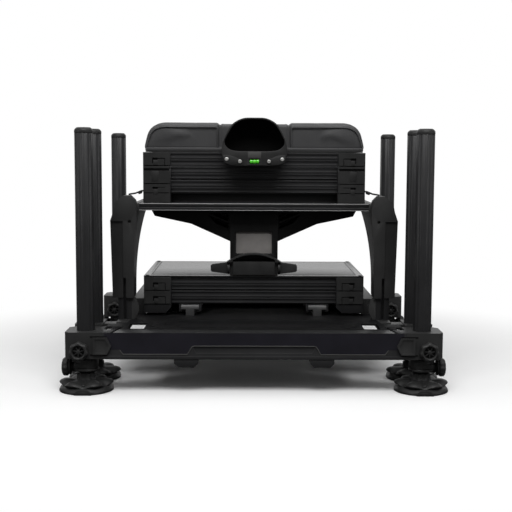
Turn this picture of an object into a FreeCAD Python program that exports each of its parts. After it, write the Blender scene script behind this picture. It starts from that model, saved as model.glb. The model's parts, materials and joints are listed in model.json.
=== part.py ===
import FreeCAD, Part
import math
import os
from types import SimpleNamespace
from FreeCAD import Placement, Rotation, Vector
import Sketcher

# Fishing seat box: a padded lift-up seat over a case of shallow drawers, carried on a
# telescoping pedestal and two side arms, above a low drawer case, a sliding footplate and six legs.
# X runs to the right, Y to the back, Z up. The origin is on the ground at the middle of the box.

os.makedirs("parts", exist_ok=True)
doc = FreeCAD.newDocument("seat_box")

# Driving sizes in millimetres, each in a spreadsheet cell of its own
driving = {
    # Legs
    "lugReach": (47, "outer side of a side rail to the leg axis"),
    "footplateRow": (263, "footplate leg axes, in front of the middle"),
    "frontRow": (150, "front frame leg axes, in front of the middle"),
    "rearRow": (263, "rear frame leg axes, behind the middle"),
    "legDiameter": (36, "outside of the fluted leg tube"),
    "legBore": (31, "inside of the leg tube"),
    "legTop": (505, "top of the leg tube above the ground"),
    "legTurned": (0.5, "turned off the tube's radius inside its casting and collar"),
    "fluteCount": (12, "flutes round a leg tube"),
    "fluteRadius": (1.1, "radius of one flute"),
    "capHeight": (9, "moulded cap above the tube"),
    "capTopDiameter": (27, "flat top of the cap"),
    "capPlug": (12, "depth of the cap's plug in the tube"),
    "collarDiameter": (50, "collar at the tube's lower end"),
    "collarBottom": (40, "underside of the collar above the ground"),
    "collarHeight": (25, "height of the collar"),
    "collarSocket": (12, "depth of the tube's seat in the collar"),
    "knobDiameter": (36, "clamp knobs"),
    "knobThickness": (17, "depth of a star knob's head"),
    "knobReach": (53.5, "leg axis to the star knob's face"),
    "knobLobes": (7, "lobes of a star knob"),
    "knobHeight": (85, "star knob axis above the ground"),
    "knobOffset": (7.5, "star knob axis outside the leg axis"),
    "knobRecess": (23, "diameter of the star knob's sunk face"),
    "collarKnobHead": (21.2, "length of a collar knob's head"),
    "collarKnobDrop": (6.5, "collar knob axis above the collar's underside"),
    "studDiameter": (8, "threaded stud of every knob"),
    "stemDiameter": (28, "inner telescopic stem"),
    "stemWall": (3, "wall of the stem"),
    "stemTop": (300, "top of the stem at rest"),
    "tongueWidth": (12, "eye at the stem's lower end, across"),
    "pivotHeight": (28, "foot pivot above the ground"),
    "pivotPin": (8, "foot pivot pin"),
    "earRadius": (10, "ears of the foot round the pivot"),
    "footDiameter": (107, "ground foot"),
    "footRim": (4, "height of the foot's ground rim"),
    "footTier": (9, "height of the foot's lower tier"),
    "footCrown": (18, "height of the foot's upper tier"),
    "footNeck": (40, "width of the foot's neck across the ears"),
    "petalCount": (9, "petals round the foot"),
    "petalGap": (7, "slot between two petals"),
    # Leg castings
    "castBottom": (68, "underside of the castings"),
    "castHeight": (52, "height of the castings"),
    "castHalfDepth": (35, "leg axis to the casting's front"),
    "castOuter": (36.5, "leg axis to the casting's outer side"),
    "castInner": (34, "leg axis to a footplate casting's inner side"),
    "castBevel": (8, "bevel of a casting's outer corners"),
    "barrelInner": (21, "leg axis to a frame casting's inner side"),
    "slideGap": (0.3, "clearance of a sliding fit"),
    "turnGap": (0.05, "clearance of a turning fit"),
    "noseReach": (54, "leg axis to the point of the six-sided nose"),
    "noseHeight": (33, "height of the six-sided nose"),
    "noseDepth": (5, "nose in front of the casting"),
    # Footplate
    "barDepth": (36, "front bar, front to back"),
    "barWall": (4, "wall of the front bar"),
    "barLip": (6.3, "height of the lip along the bar's foot"),
    "barLipProud": (1.5, "lip in front of the bar's face"),
    "panelHalf": (119, "half length of the bar's sunk panel"),
    "panelHeight": (13, "height of the bar's sunk panel"),
    "panelRise": (12, "sunk panel above the bar's underside"),
    "panelDepth": (1.5, "depth of the sunk panel"),
    "skidInner": (108.5, "middle to the inner end of a skid block"),
    "skidOuter": (155.5, "middle to the outer end of a skid block"),
    "skidHeight": (16, "skid block under the bar"),
    "boardThick": (4.5, "footplate board"),
    "boardRear": (60, "board's rear edge behind the middle"),
    "boardStep": (170, "where the board narrows, in front of the middle"),
    "boardGap": (24, "board's rear part to the side rail"),
    "boardFlare": (32, "length over which the board widens"),
    "plateRaise": (1.5, "raised tread plate on the board"),
    "treadInset": (26, "tread plate in from the board's side"),
    "gripInset": (13, "inner side of a grip hole in from the board's side"),
    "gripWidth": (33, "grip hole, across"),
    "gripLength": (68, "grip hole, front to back"),
    "gripRear": (184, "rear end of a grip hole, in front of the middle"),
    "slitWidth": (5, "slanted slit at each front corner"),
    "slideInset": (40, "middle of a slide in from the corner blocks"),
    "slideWidth": (38, "flange of a slide bar"),
    "slideWeb": (18, "web of a slide bar"),
    "slideFlange": (9, "height of a slide bar's flange"),
    "slideLength": (280, "length of a slide bar"),
    "channelWall": (4.4, "side and toe of a slide channel"),
    "channelWeb": (2, "top of a slide channel"),
    # Side frames and uprights
    "railWidth": (28, "side rail and upright, across"),
    "railGap": (21, "side of the cases to the side rail"),
    "railTop": (119, "top of the side rail"),
    "railHeight": (14, "height of the side rail"),
    "lugHeight": (10, "slim lug from casting to rail"),
    "uprightFront": (133, "front of an upright, in front of the middle"),
    "uprightTop": (345, "top of an upright"),
    "grooveWidth": (6, "groove down an upright"),
    "grooveDepth": (8, "depth of that groove"),
    "gussetWidth": (14.5, "gusset beside an upright"),
    "gussetHeight": (46, "height of that gusset"),
    "gussetThick": (12, "thickness of that gusset"),
    "bracketHeight": (34, "bracket between rail and lower case"),
    "bracketLap": (7, "lap of the bracket on the rail"),
    "bracketFront": (30, "bracket behind the front of the case"),
    "bracketRear": (11, "bracket before the rear of the case"),
    # Cases
    "caseHalf": (234, "half width over the corner blocks"),
    "caseFront": (90, "front of both cases, in front of the middle"),
    "caseDepth": (294, "cases, front to back"),
    "caseInset": (3, "ribbed walls behind the corner blocks"),
    "blockWidth": (58, "corner block, across"),
    "blockDepth": (40, "corner block, front to back"),
    "blockFoot": (19, "corner blocks below the case"),
    "caseWall": (2.5, "wall of the cases"),
    "tierHeight": (29.2, "height of one drawer tier of the upper case"),
    "lowerTier": (28.9, "height of one drawer tier of the lower case"),
    "lowerBottom": (145, "underside of the lower case"),
    "lidThick": (3, "lid of the lower case"),
    "lidGroove": (1.5, "depth of the lid's groove"),
    "lidMargin": (14, "lid's groove in from its edge"),
    "drawerGap": (0.4, "clearance round a drawer"),
    "drawerWall": (2, "wall of a drawer"),
    "drawerFace": (6, "thickness of a drawer's ribbed face"),
    "grooveOffset": (7.3, "broad grooves above and below the middle of a tier"),
    "broadGroove": (6.2, "height of a broad groove"),
    "fineGroove": (1, "height of the fine groove in the middle rib"),
    "ribDepth": (1.6, "depth of the grooves"),
    "shelfInset": (4, "floor of a tier behind its drawer's face"),
    "slotMiddle": (25, "corner block's outer side to the middle of its catch slot"),
    "slotWide": (11, "catch slot, across"),
    "slotTall": (3.2, "height of the catch slot"),
    "slotDrop": (12.3, "top of a tier to its catch slot"),
    "slotDeep": (3, "depth of the catch slot"),
    # Pedestal and deck
    "deckBottom": (346, "underside of the deck"),
    "deckThick": (14.5, "thickness of the deck"),
    "deckMargin": (7, "deck beyond the sides of the case"),
    "deckFront": (108, "front of the deck, in front of the middle"),
    "deckRear": (208, "rear of the deck"),
    "deckGroove": (2, "groove along the deck's front edge"),
    "plinthInset": (26, "plinth behind the front of the upper case"),
    "plinthWall": (5, "wall of that hollow plinth"),
    "columnHalf": (51, "half width of the pedestal sleeve"),
    "columnFront": (73, "front of the sleeve, in front of the middle"),
    "columnDepth": (90, "sleeve, front to back"),
    "columnWall": (5.1, "wall of the sleeve"),
    "columnBottom": (236.5, "lower end of the sleeve"),
    "windowHalf": (38.5, "half width of the sleeve's window"),
    "windowBottom": (252, "foot of the window"),
    "windowTop": (299, "head of the window"),
    "wingReach": (221, "middle to the tip of a wing"),
    "wingDepth": (60, "wing, front to back"),
    "wingTip": (15, "height of the wing's tip"),
    "wingKnee": (135, "middle to the bend under a wing"),
    "wingKneeDrop": (31.5, "bend below the deck"),
    "wingRoot": (69, "height of a wing at the sleeve"),
    "postTop": (335, "top of the inner post"),
    "postWall": (6, "wall of the inner post"),
    "flangeThick": (2.9, "foot of the inner post"),
    "clampProud": (22, "clamp in front of the sleeve"),
    "hoodHalf": (58, "half width of the clamp's hood"),
    "hoodRise": (19, "rise of the hood's arch"),
    "hoodThick": (3, "thickness of the hood"),
    "shaftHeight": (222, "clamp handle's shaft above the ground"),
    "shaftDiameter": (10, "clamp handle's shaft"),
    "paddleReach": (92, "middle to the end of a handle"),
    "paddleRoot": (25, "height of a handle at its root"),
    "paddleTip": (14, "height of a handle at its end"),
    "paddleThick": (9, "thickness of a handle"),
    # Arms
    "armFront": (140, "front of the arms, in front of the middle"),
    "armDepth": (42, "arm round the upright, front to back"),
    "armBottom": (165, "lower end of the arms"),
    "armTop": (377.5, "top of the arms"),
    "armWall": (11, "arm outside the upright, at its foot"),
    "armShoulder": (15, "arm outside the upright, at its shoulder"),
    "armGap": (2, "side of the deck to the arm's inner side"),
    "armLean": (7, "how far the arm's inner side leans outwards to its foot"),
    "armStep": (325, "top of the sunk face"),
    "armStepDepth": (4, "depth of the sunk face"),
    "armSlot": (42, "slot up the arm's foot"),
    "armWeb": (6, "thickness of the arm's web"),
    "armWebRear": (116, "rear of the web under the deck"),
    "armScrew": (7, "screw hole in the arm"),
    "armScrewHeight": (324, "that hole above the ground"),
    "clipWidth": (26, "arm clip, front to back"),
    "clipThick": (3, "thickness of an arm clip"),
    # Seat
    "upperBottom": (380, "underside of the upper case"),
    "seatGap": (0.4, "seat board above the tray"),
    "boardPlate": (2.9, "seat board"),
    "seatInset": (5, "cushion in from the sides of the case"),
    "seatFront": (85, "front of the cushion, in front of the middle"),
    "seatRear": (203, "rear of the cushion"),
    "cushionHeight": (58.5, "height of the cushion"),
    "cushionCorner": (19, "radius of the cushion's upper corners"),
    "channelHalf": (69, "half width of the cushion's middle channel"),
    "channelDip": (3, "depth of that channel"),
    "seamDip": (3.5, "depth of the seams beside the channel"),
    "cushionCrown": (3, "crown of the cushion from front to back"),
    "hingePin": (5, "seat hinge pin"),
    "hingeKnuckle": (5, "radius of a hinge knuckle"),
    "hingeSpacing": (240, "left hinge to right hinge"),
    "hingeLength": (60, "length of one hinge"),
    # Pole cup
    "cupTop": (538, "top of the pole cup"),
    "cupBottom": (439.8, "underside of the pole cup"),
    "cupHalf": (68, "half width of the pole cup"),
    "cupFront": (144, "front of the cup, in front of the middle"),
    "cupWall": (3.4, "wall of the cup"),
    "cupBack": (6.5, "back wall of the cup"),
    "cupFloor": (469.5, "floor of the cup's hollow"),
    "screwOuter": (57, "middle to the outer cup screws"),
    "screwInner": (29.7, "middle to the inner cup screws"),
    "screwHead": (8, "head of a cup screw"),
    "screwShank": (4.5, "shank of a cup screw"),
    "screwHeadHeight": (2.4, "height of a screw head"),
    "screwLength": (12, "length of a screw's shank"),
    "vialDiameter": (11.2, "spirit level vial"),
    "vialLength": (20, "length of the vial"),
    "vialHeight": (448.8, "vial axis above the ground"),
}

sheet = doc.addObject("Spreadsheet::Sheet", "Sizes")
for row, (alias, (number, note)) in enumerate(driving.items(), 1):
    sheet.set(f"A{row}", note)
    sheet.set(f"B{row}", str(number))
    sheet.setAlias(f"B{row}", alias)
doc.recompute()


class Size:
    """A length that carries its number and the spreadsheet formula it comes from."""

    def __init__(self, number, formula):
        self.number = float(number)
        self.formula = formula

    def joined(self, other, sign, number):
        return Size(number, f"({self.formula} {sign} {other.formula})")

    def __add__(self, other):
        other = as_size(other)
        return self.joined(other, "+", self.number + other.number)

    def __radd__(self, other):
        return as_size(other) + self

    def __sub__(self, other):
        other = as_size(other)
        return self.joined(other, "-", self.number - other.number)

    def __rsub__(self, other):
        return as_size(other) - self

    def __mul__(self, other):
        other = as_size(other)
        return self.joined(other, "*", self.number * other.number)

    def __rmul__(self, other):
        return as_size(other) * self

    def __truediv__(self, other):
        other = as_size(other)
        return self.joined(other, "/", self.number / other.number)

    def __neg__(self):
        return as_size(0) - self


def as_size(amount):
    return amount if isinstance(amount, Size) else Size(amount, repr(float(amount)))


s = SimpleNamespace(**{alias: Size(sheet.get(alias), f"Sizes.{alias}") for alias in driving})


# Building blocks, each bound to the spreadsheet

def bind(item, **amounts):
    for path, amount in amounts.items():
        item.setExpression(path, as_size(amount).formula)


def move_to(item, x, y, z, turn=None):
    item.Placement = Placement(Vector(0, 0, 0), turn or Rotation())
    for axis, amount in zip("xyz", (x, y, z)):
        item.setExpression(f"Placement.Base.{axis}", as_size(amount).formula)
    return item


def block(x, y, z):
    """A box between two limits on each axis."""
    item = doc.addObject("Part::Box", "Block")
    bind(item, Length=x[1] - as_size(x[0]), Width=y[1] - as_size(y[0]), Height=z[1] - as_size(z[0]))
    return move_to(item, x[0], y[0], z[0])


turns = {"x": Rotation(Vector(0, 1, 0), 90), "y": Rotation(Vector(1, 0, 0), -90), "z": Rotation()}


def along(axis, start, across):
    """The point on an axis at start, with its two other coordinates in X, Y, Z order."""
    first, second = across
    return {"x": (start, first, second), "y": (first, start, second), "z": (first, second, start)}[axis]


def rod(axis, radius, limits, across):
    item = doc.addObject("Part::Cylinder", "Rod")
    bind(item, Radius=radius, Height=limits[1] - as_size(limits[0]))
    return move_to(item, *along(axis, limits[0], across), turns[axis])


def taper(axis, radii, limits, across):
    item = doc.addObject("Part::Cone", "Taper")
    bind(item, Radius1=radii[0], Radius2=radii[1], Height=limits[1] - as_size(limits[0]))
    return move_to(item, *along(axis, limits[0], across), turns[axis])


def fuse(*items):
    item = doc.addObject("Part::MultiFuse", "Fused")
    item.Shapes = list(items)
    item.Refine = True
    return item


def cut(base, *tools):
    item = doc.addObject("Part::Cut", "Cut")
    item.Base = base
    item.Tool = tools[0] if len(tools) == 1 else fuse(*tools)
    item.Refine = True
    return item


def group(*items):
    item = doc.addObject("Part::Compound", "Group")
    item.Links = list(items)
    return item


def mirrored(item):
    """The same piece on the other side of the middle plane."""
    copy = doc.addObject("Part::Mirroring", "Mirrored")
    copy.Source = item
    copy.Normal = Vector(1, 0, 0)
    return copy


def placed(item, x, y, z=0):
    return move_to(group(item), x, y, z)


def origin_item(body, role):
    return next(item for item in body.Origin.OriginFeatures if item.Role == role)


def sketch_on(body, plane):
    sketch = body.newObject("Sketcher::SketchObject", "Outline")
    sketch.AttachmentSupport = (origin_item(body, f"{plane}_Plane"), [""])
    sketch.MapMode = "FlatFace"
    return sketch


def draw_outline(sketch, points):
    """A closed outline of straight lines, every corner held by two bound distances."""
    points = [(as_size(u), as_size(v)) for u, v in points]
    count = len(points)
    for index in range(count):
        (u0, v0), (u1, v1) = points[index], points[(index + 1) % count]
        start, end = Vector(u0.number, v0.number, 0), Vector(u1.number, v1.number, 0)
        sketch.addGeometry(Part.LineSegment(start, end))
    for index in range(count):
        sketch.addConstraint(Sketcher.Constraint("Coincident", index, 2, (index + 1) % count, 1))
    for index, (u, v) in enumerate(points):
        for kind, amount in (("DistanceX", u), ("DistanceY", v)):
            number = sketch.addConstraint(Sketcher.Constraint(kind, -1, 1, index, 1, amount.number))
            sketch.setExpression(f"Constraints[{number}]", amount.formula)


def draw_circle(sketch, u, v, radius):
    u, v, radius = as_size(u), as_size(v), as_size(radius)
    sketch.addGeometry(Part.Circle(Vector(u.number, v.number, 0), Vector(0, 0, 1), radius.number))
    held = [("DistanceX", -1, 1, 0, 3, u), ("DistanceY", -1, 1, 0, 3, v), ("Radius", 0, radius)]
    for *start, amount in held:
        number = sketch.addConstraint(Sketcher.Constraint(*start, amount.number))
        sketch.setExpression(f"Constraints[{number}]", amount.formula)


def padded(body, sketch, length):
    pad = body.newObject("PartDesign::Pad", "Pad")
    pad.Profile = sketch
    bind(pad, Length=length)
    return pad


def prism(axis, points, limits):
    """An outline extruded along one axis; the points are given in X, Y, Z order without that axis."""
    body = doc.addObject("PartDesign::Body", "Prism")
    plane, start = {"x": ("YZ", limits[0]), "y": ("XZ", limits[1]), "z": ("XY", limits[0])}[axis]
    sketch = sketch_on(body, plane)
    draw_outline(sketch, points)
    padded(body, sketch, limits[1] - as_size(limits[0]))
    return move_to(body, *along(axis, start, (0, 0)))


def notched(body, outline, count):
    """Cuts one outline through a body all the way and repeats it round the Z axis."""
    pocket = body.newObject("PartDesign::Pocket", "Notch")
    pocket.Profile = outline
    pocket.Type = "ThroughAll"
    pocket.Midplane = True
    pattern = body.newObject("PartDesign::PolarPattern", "Notches")
    pattern.Originals = [pocket]
    pattern.Axis = (origin_item(body, "Z_Axis"), [""])
    pattern.Angle = 360
    bind(pattern, Occurrences=count)
    body.Tip = pattern


def mirror_points(points):
    """A left half added to a right half that is listed from the bottom to the top."""
    return points + [(-as_size(u), v) for u, v in reversed(points)]


def ends(side, inner, outer):
    """Limits on X of something between two distances from the middle, on one side."""
    return (inner, outer) if side > 0 else (-as_size(outer), -as_size(inner))


nodes = []


def node(name, item):
    item.Label = name
    nodes.append(item)
    return item


# Legs: fluted tube with its cap and collar, inner stem, foot and two clamp knobs

rail_inner = s.caseHalf + s.railGap
rail_outer = rail_inner + s.railWidth
leg_x = rail_outer + s.lugReach
leg_radius = s.legDiameter / 2
turned_radius = leg_radius - s.legTurned
collar_top = s.collarBottom + s.collarHeight
collar_knob_height = s.collarBottom + s.collarKnobDrop
collar_radius = s.collarDiameter / 2
stem_radius = s.stemDiameter / 2
stem_hole = stem_radius + s.slideGap
stud_radius = s.studDiameter / 2
stud_hole = stud_radius + s.turnGap
collar_boss = collar_radius + 1


def make_tube():
    body = doc.addObject("PartDesign::Body", "Tube")
    bottom = collar_top - s.collarSocket
    wall = sketch_on(body, "XY")
    draw_circle(wall, 0, 0, leg_radius)
    padded(body, wall, s.legTop - bottom)
    flute = sketch_on(body, "XY")
    draw_circle(flute, 0, leg_radius + s.fluteRadius / 4, s.fluteRadius)
    notched(body, flute, s.fluteCount)
    move_to(body, 0, 0, bottom)
    turned_z = (bottom, s.castBottom + s.castHeight + 1)
    turned = cut(rod("z", leg_radius + 1, turned_z, (0, 0)), rod("z", turned_radius, turned_z, (0, 0)))
    return cut(body, turned, rod("z", s.legBore / 2, (bottom, s.legTop), (0, 0)))


def make_collar():
    """The collar as it sits on a right-hand leg, its boss and knob to the outside."""
    bottom = s.collarBottom
    outside = rod("z", collar_radius, (bottom, collar_top), (0, 0))
    boss = rod("x", s.collarKnobDrop, (0, collar_boss), (0, collar_knob_height))
    seat = rod("z", turned_radius, (collar_top - s.collarSocket, collar_top), (0, 0))
    bore = rod("z", stem_hole, (bottom, collar_top), (0, 0))
    stud = rod("x", stud_hole, (0, collar_boss), (0, collar_knob_height))
    return cut(fuse(outside, boss), seat, bore, stud)


def make_cap():
    low = s.legTop
    shoulder = low + s.capHeight / 3
    plug = rod("z", s.legBore / 2, (low - s.capPlug, low), (0, 0))
    band = rod("z", leg_radius, (low, shoulder), (0, 0))
    crown = taper("z", (leg_radius, s.capTopDiameter / 2), (shoulder, low + s.capHeight), (0, 0))
    return fuse(plug, band, crown)


def make_stem():
    low = s.collarBottom + 1
    tongue = s.tongueWidth / 2
    eye_radius = s.earRadius - 2
    barrel = rod("z", stem_radius, (low, s.stemTop), (0, 0))
    web = block((-tongue, tongue), (-eye_radius, eye_radius), (s.pivotHeight, low))
    eye = rod("x", eye_radius, (-tongue, tongue), (0, s.pivotHeight))
    hollow = rod("z", stem_radius - s.stemWall, (low + s.collarHeight, s.stemTop), (0, 0))
    hole = rod("x", s.pivotPin / 2 + s.turnGap, (-tongue, tongue), (0, s.pivotHeight))
    return cut(fuse(barrel, web, eye), hollow, hole)


def make_foot():
    """Two tiers of petals, with ears and a pin for the stem's eye."""
    body = doc.addObject("PartDesign::Body", "Petals")
    radius = s.footDiameter / 2
    neck = s.footNeck / 2
    profile = sketch_on(body, "XZ")
    waist, brim, tier = radius * 0.74, radius * 0.93, s.footTier
    draw_outline(profile, [
        (0, 0), (radius, 0), (radius, s.footRim), (waist, tier), (brim, tier + 1), (brim, tier + 4),
        (neck, s.footCrown), (0, s.footCrown)])
    turned = body.newObject("PartDesign::Revolution", "Turned")
    turned.Profile = profile
    turned.ReferenceAxis = (origin_item(body, "Z_Axis"), [""])
    turned.Angle = 360
    slot = sketch_on(body, "XY")
    half = s.petalGap / 2
    draw_outline(slot, [
        (-half, neck * 1.5), (half, neck * 1.5), (half * 1.6, radius + 1), (half * -1.6, radius + 1)])
    notched(body, slot, s.petalCount)
    inside = s.tongueWidth / 2 + s.slideGap
    pieces = [body, rod("x", s.pivotPin / 2, (-neck, neck), (0, s.pivotHeight))]
    for side in (-1, 1):
        across = ends(side, inside, neck)
        pieces.append(rod("x", s.earRadius, across, (0, s.pivotHeight)))
        pieces.append(block(across, (-s.earRadius, s.earRadius), (s.footCrown - 1, s.pivotHeight)))
    return fuse(*pieces)


def make_star_knob():
    """A lobed knob facing the front, its stud running back beside the leg; drawn round X 0."""
    body = doc.addObject("PartDesign::Body", "Lobes")
    radius = s.knobDiameter / 2
    face = sketch_on(body, "XY")
    draw_circle(face, 0, 0, radius)
    padded(body, face, s.knobThickness)
    scallop = sketch_on(body, "XY")
    draw_circle(scallop, 0, radius * 1.12, radius * 0.24)
    notched(body, scallop, s.knobLobes)
    back = s.knobThickness - s.knobReach
    move_to(body, 0, -s.knobReach, s.knobHeight, turns["y"])
    recess = rod("y", s.knobRecess / 2, (-s.knobReach, -s.knobReach + 3), (0, s.knobHeight))
    hub = rod("y", s.knobRecess / 4, (-s.knobReach, -s.knobReach + 3), (0, s.knobHeight))
    stud = rod("y", stud_radius, (back, -leg_radius - 0.5), (0, s.knobHeight))
    return fuse(cut(body, recess), hub, stud)


def make_collar_knob():
    """A domed knob on the right-hand side of the collar."""
    radius = s.knobDiameter / 2
    start = collar_boss + 0.5
    edge = start + s.collarKnobHead * 0.6
    end = start + s.collarKnobHead
    waist = taper("x", (radius * 0.7, radius), (start, start + 5), (0, collar_knob_height))
    grip = rod("x", radius, (start + 5, edge), (0, collar_knob_height))
    dome = taper("x", (radius, radius * 0.62), (edge, end), (0, collar_knob_height))
    stud = rod("x", stud_radius, (stem_radius + 0.5, start), (0, collar_knob_height))
    return fuse(waist, grip, dome, stud)


tube, cap, stem, foot, star_knob = make_tube(), make_cap(), make_stem(), make_foot(), make_star_knob()
right_collar, right_knob = make_collar(), make_collar_knob()
side_pieces = {1: (right_collar, right_knob), -1: (mirrored(right_collar), mirrored(right_knob))}
rows = {"footplate": -s.footplateRow, "front": -s.frontRow, "rear": s.rearRow}
sides = {"left": -1, "right": 1}
for row_name, row in rows.items():
    for side_name, side in sides.items():
        spot = f"{row_name}_{side_name}"
        axis_x = side * leg_x
        collar, collar_knob = side_pieces[side]
        node(f"leg_{spot}", placed(group(tube, cap, collar), axis_x, row))
        node(f"stem_{spot}", placed(stem, axis_x, row))
        node(f"foot_{spot}", placed(foot, axis_x, row))
        node(f"star_knob_{spot}", placed(star_knob, axis_x + side * s.knobOffset, row))
        node(f"collar_knob_{spot}", placed(collar_knob, axis_x, row))


# Castings: the clamp blocks that hold the legs

leg_hole = leg_radius + s.slideGap
cast_top = s.castBottom + s.castHeight
cast_z = (s.castBottom, cast_top)


def clamp_block(side, row, inner, z):
    """A block round one leg with the leg's hole and the star knob's stud hole."""
    x = ends(side, leg_x - inner, leg_x + s.castOuter)
    outer_edge = side * (leg_x + s.castOuter)
    middle = side * leg_x
    body = block(x, (row - s.castHalfDepth, row + s.castHalfDepth), z)
    corners = []
    bevel = s.castBevel
    for end in (-1, 1):
        corner_y = row + s.castHalfDepth * end
        corners.append(prism("z", [
            (outer_edge, corner_y - bevel * end), (outer_edge + side, corner_y + end),
            (outer_edge - bevel * side, corner_y)], z))
    hole = rod("z", leg_hole, z, (middle, row))
    stud = rod("y", stud_hole, (row - s.castHalfDepth, row), (middle + side * s.knobOffset, s.knobHeight))
    return cut(body, hole, stud, *corners)


def footplate_casting(side):
    row = rows["footplate"]
    face = row - s.castHalfDepth
    middle_z = s.castBottom + s.castHeight / 2
    half = s.noseHeight / 2
    root = side * (leg_x - leg_radius - 0.5)
    bend = side * (leg_x - s.noseReach + s.noseHeight / 4)
    tip = side * (leg_x - s.noseReach)
    nose = prism("y", [
        (root, middle_z - half), (bend, middle_z - half), (tip, middle_z), (bend, middle_z + half),
        (root, middle_z + half)], (face - s.noseDepth, face))
    return fuse(clamp_block(side, row, s.castInner, cast_z), nose)


node("footplate_castings", group(footplate_casting(-1), footplate_casting(1)))


# Front bar and footplate board

bar_front = -s.footplateRow - s.castHalfDepth
bar_back = bar_front + s.barDepth
bar_half = leg_x - s.castInner


def corner_slit(side, z):
    """The slanted slit that runs from the board into the bar's upper corner."""
    front = (side * (leg_x - s.noseReach), bar_front - 2)
    back = (side * (leg_x - s.noseReach - 13), bar_back + 32)
    width = s.slitWidth / 2
    return prism("z", [
        (front[0] - width, front[1]), (front[0] + width, front[1]),
        (back[0] + width, back[1]), (back[0] - width, back[1])], z)


def make_front_bar():
    low, high = s.castBottom, cast_top
    lip = low + s.barLip
    outline = [
        (bar_front - s.barLipProud, low), (bar_back, low), (bar_back, high), (bar_front, high),
        (bar_front, lip), (bar_front - s.barLipProud, lip)]
    body = prism("x", outline, (-bar_half, bar_half))
    hollow = block((-bar_half, bar_half), (bar_front + s.barWall, bar_back - s.barWall),
                   (low + s.barWall, high - s.barWall))
    foot_z = low + s.panelRise
    head_z = foot_z + s.panelHeight
    slant = s.panelHeight / 2
    panel = prism("y", mirror_points([(s.panelHalf - slant, foot_z), (s.panelHalf, head_z)]),
                  (bar_front - 1, bar_front + s.panelDepth))
    skids = []
    for side in sides.values():
        inner, outer = side * s.skidInner, side * s.skidOuter
        bevel = side * s.skidHeight / 2
        skid_y = (bar_front, bar_back - s.barWall)
        skids.append(prism("y", [
            (inner, low), (outer, low), (outer, low - s.skidHeight / 2), (outer - bevel, low - s.skidHeight),
            (inner + bevel, low - s.skidHeight), (inner, low - s.skidHeight / 2)], skid_y))
    slits = [corner_slit(side, (high - s.barWall * 2, high + 1)) for side in sides.values()]
    return group(cut(body, hollow, panel, *slits), *skids)


def make_board():
    low, high = cast_top - s.boardThick, cast_top
    step, rear, half = -s.boardStep, s.boardRear, rail_inner - s.boardGap
    waist = step - s.boardFlare
    tread_half = half - s.treadInset
    grip_inner = half - s.gripInset
    shape = prism("z", mirror_points([
        (half, rear), (half, step), (bar_half, waist), (bar_half, bar_back)]), (low, high))
    tread_front, tread_back = bar_back + 8, step + 26
    corner = tread_half / 8
    tread_z = (high, high + s.plateRaise)
    tread = prism("z", mirror_points([
        (tread_half - corner, tread_back), (tread_half, tread_back - corner),
        (tread_half, tread_front + corner), (tread_half - corner, tread_front)]), tread_z)
    groove = prism("z", mirror_points([
        (tread_half - corner * 2, tread_back - 12), (tread_half - corner, tread_back - corner - 12),
        (tread_half - corner, tread_front + corner + 12),
        (tread_half - corner * 2, tread_front + 12)]), tread_z)
    notch = block((-s.windowHalf, s.windowHalf), (tread_front, tread_front + 5), tread_z)
    holes = []
    for side in sides.values():
        grip = ends(side, grip_inner, grip_inner + s.gripWidth)
        corner_hole = ends(side, leg_x - s.noseReach + 6, bar_half - 3)
        holes.append(block(grip, (-s.gripRear - s.gripLength, -s.gripRear), (low, high)))
        holes.append(block(corner_hole, (bar_back + 3, bar_back + 30), (low, high)))
        holes.append(corner_slit(side, (low, high)))
    sunk = placed(cut(groove, notch), 0, 0, -s.plateRaise / 2)
    return fuse(cut(shape, *holes), cut(tread, groove, notch), sunk)


node("front_bar", make_front_bar())
node("footplate_board", make_board())


# Slides of the footplate, and the channels that hold them under the lower case

slide_front = -s.caseFront
channel_top = s.lowerBottom
flange_top = channel_top - s.channelWeb - s.drawerGap
flange_bottom = flange_top - s.slideFlange
slot_half = s.slideWeb / 2 + s.drawerGap
bay_half = s.caseHalf - s.blockWidth
slide_x = bay_half - s.slideInset


def make_slide(side):
    x = side * slide_x
    y = (slide_front, slide_front + s.slideLength)
    web = block((x - s.slideWeb / 2, x + s.slideWeb / 2), y, (cast_top, flange_bottom))
    flange = block((x - s.slideWidth / 2, x + s.slideWidth / 2), y, (flange_bottom, flange_top))
    return fuse(web, flange)


def make_channel(side):
    x = side * slide_x
    inside = s.slideWidth / 2 + s.drawerGap
    outside = inside + s.channelWall
    low = flange_bottom - s.drawerGap - s.channelWall
    y = (slide_front + 6, slide_front + s.caseDepth - 6)
    body = block((x - outside, x + outside), y, (low, channel_top))
    room = block((x - inside, x + inside), y, (low + s.channelWall, channel_top - s.channelWeb))
    slot = block((x - slot_half, x + slot_half), y, (low, low + s.channelWall))
    return cut(body, room, slot)


node("footplate_slides", group(make_slide(-1), make_slide(1)))
node("slide_channels", group(make_channel(-1), make_channel(1)))


# Side frames: two leg barrels, a rail, a gusset and a bracket for the lower case, in one casting

upright_front = -s.uprightFront
upright_back = upright_front + s.railWidth


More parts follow.
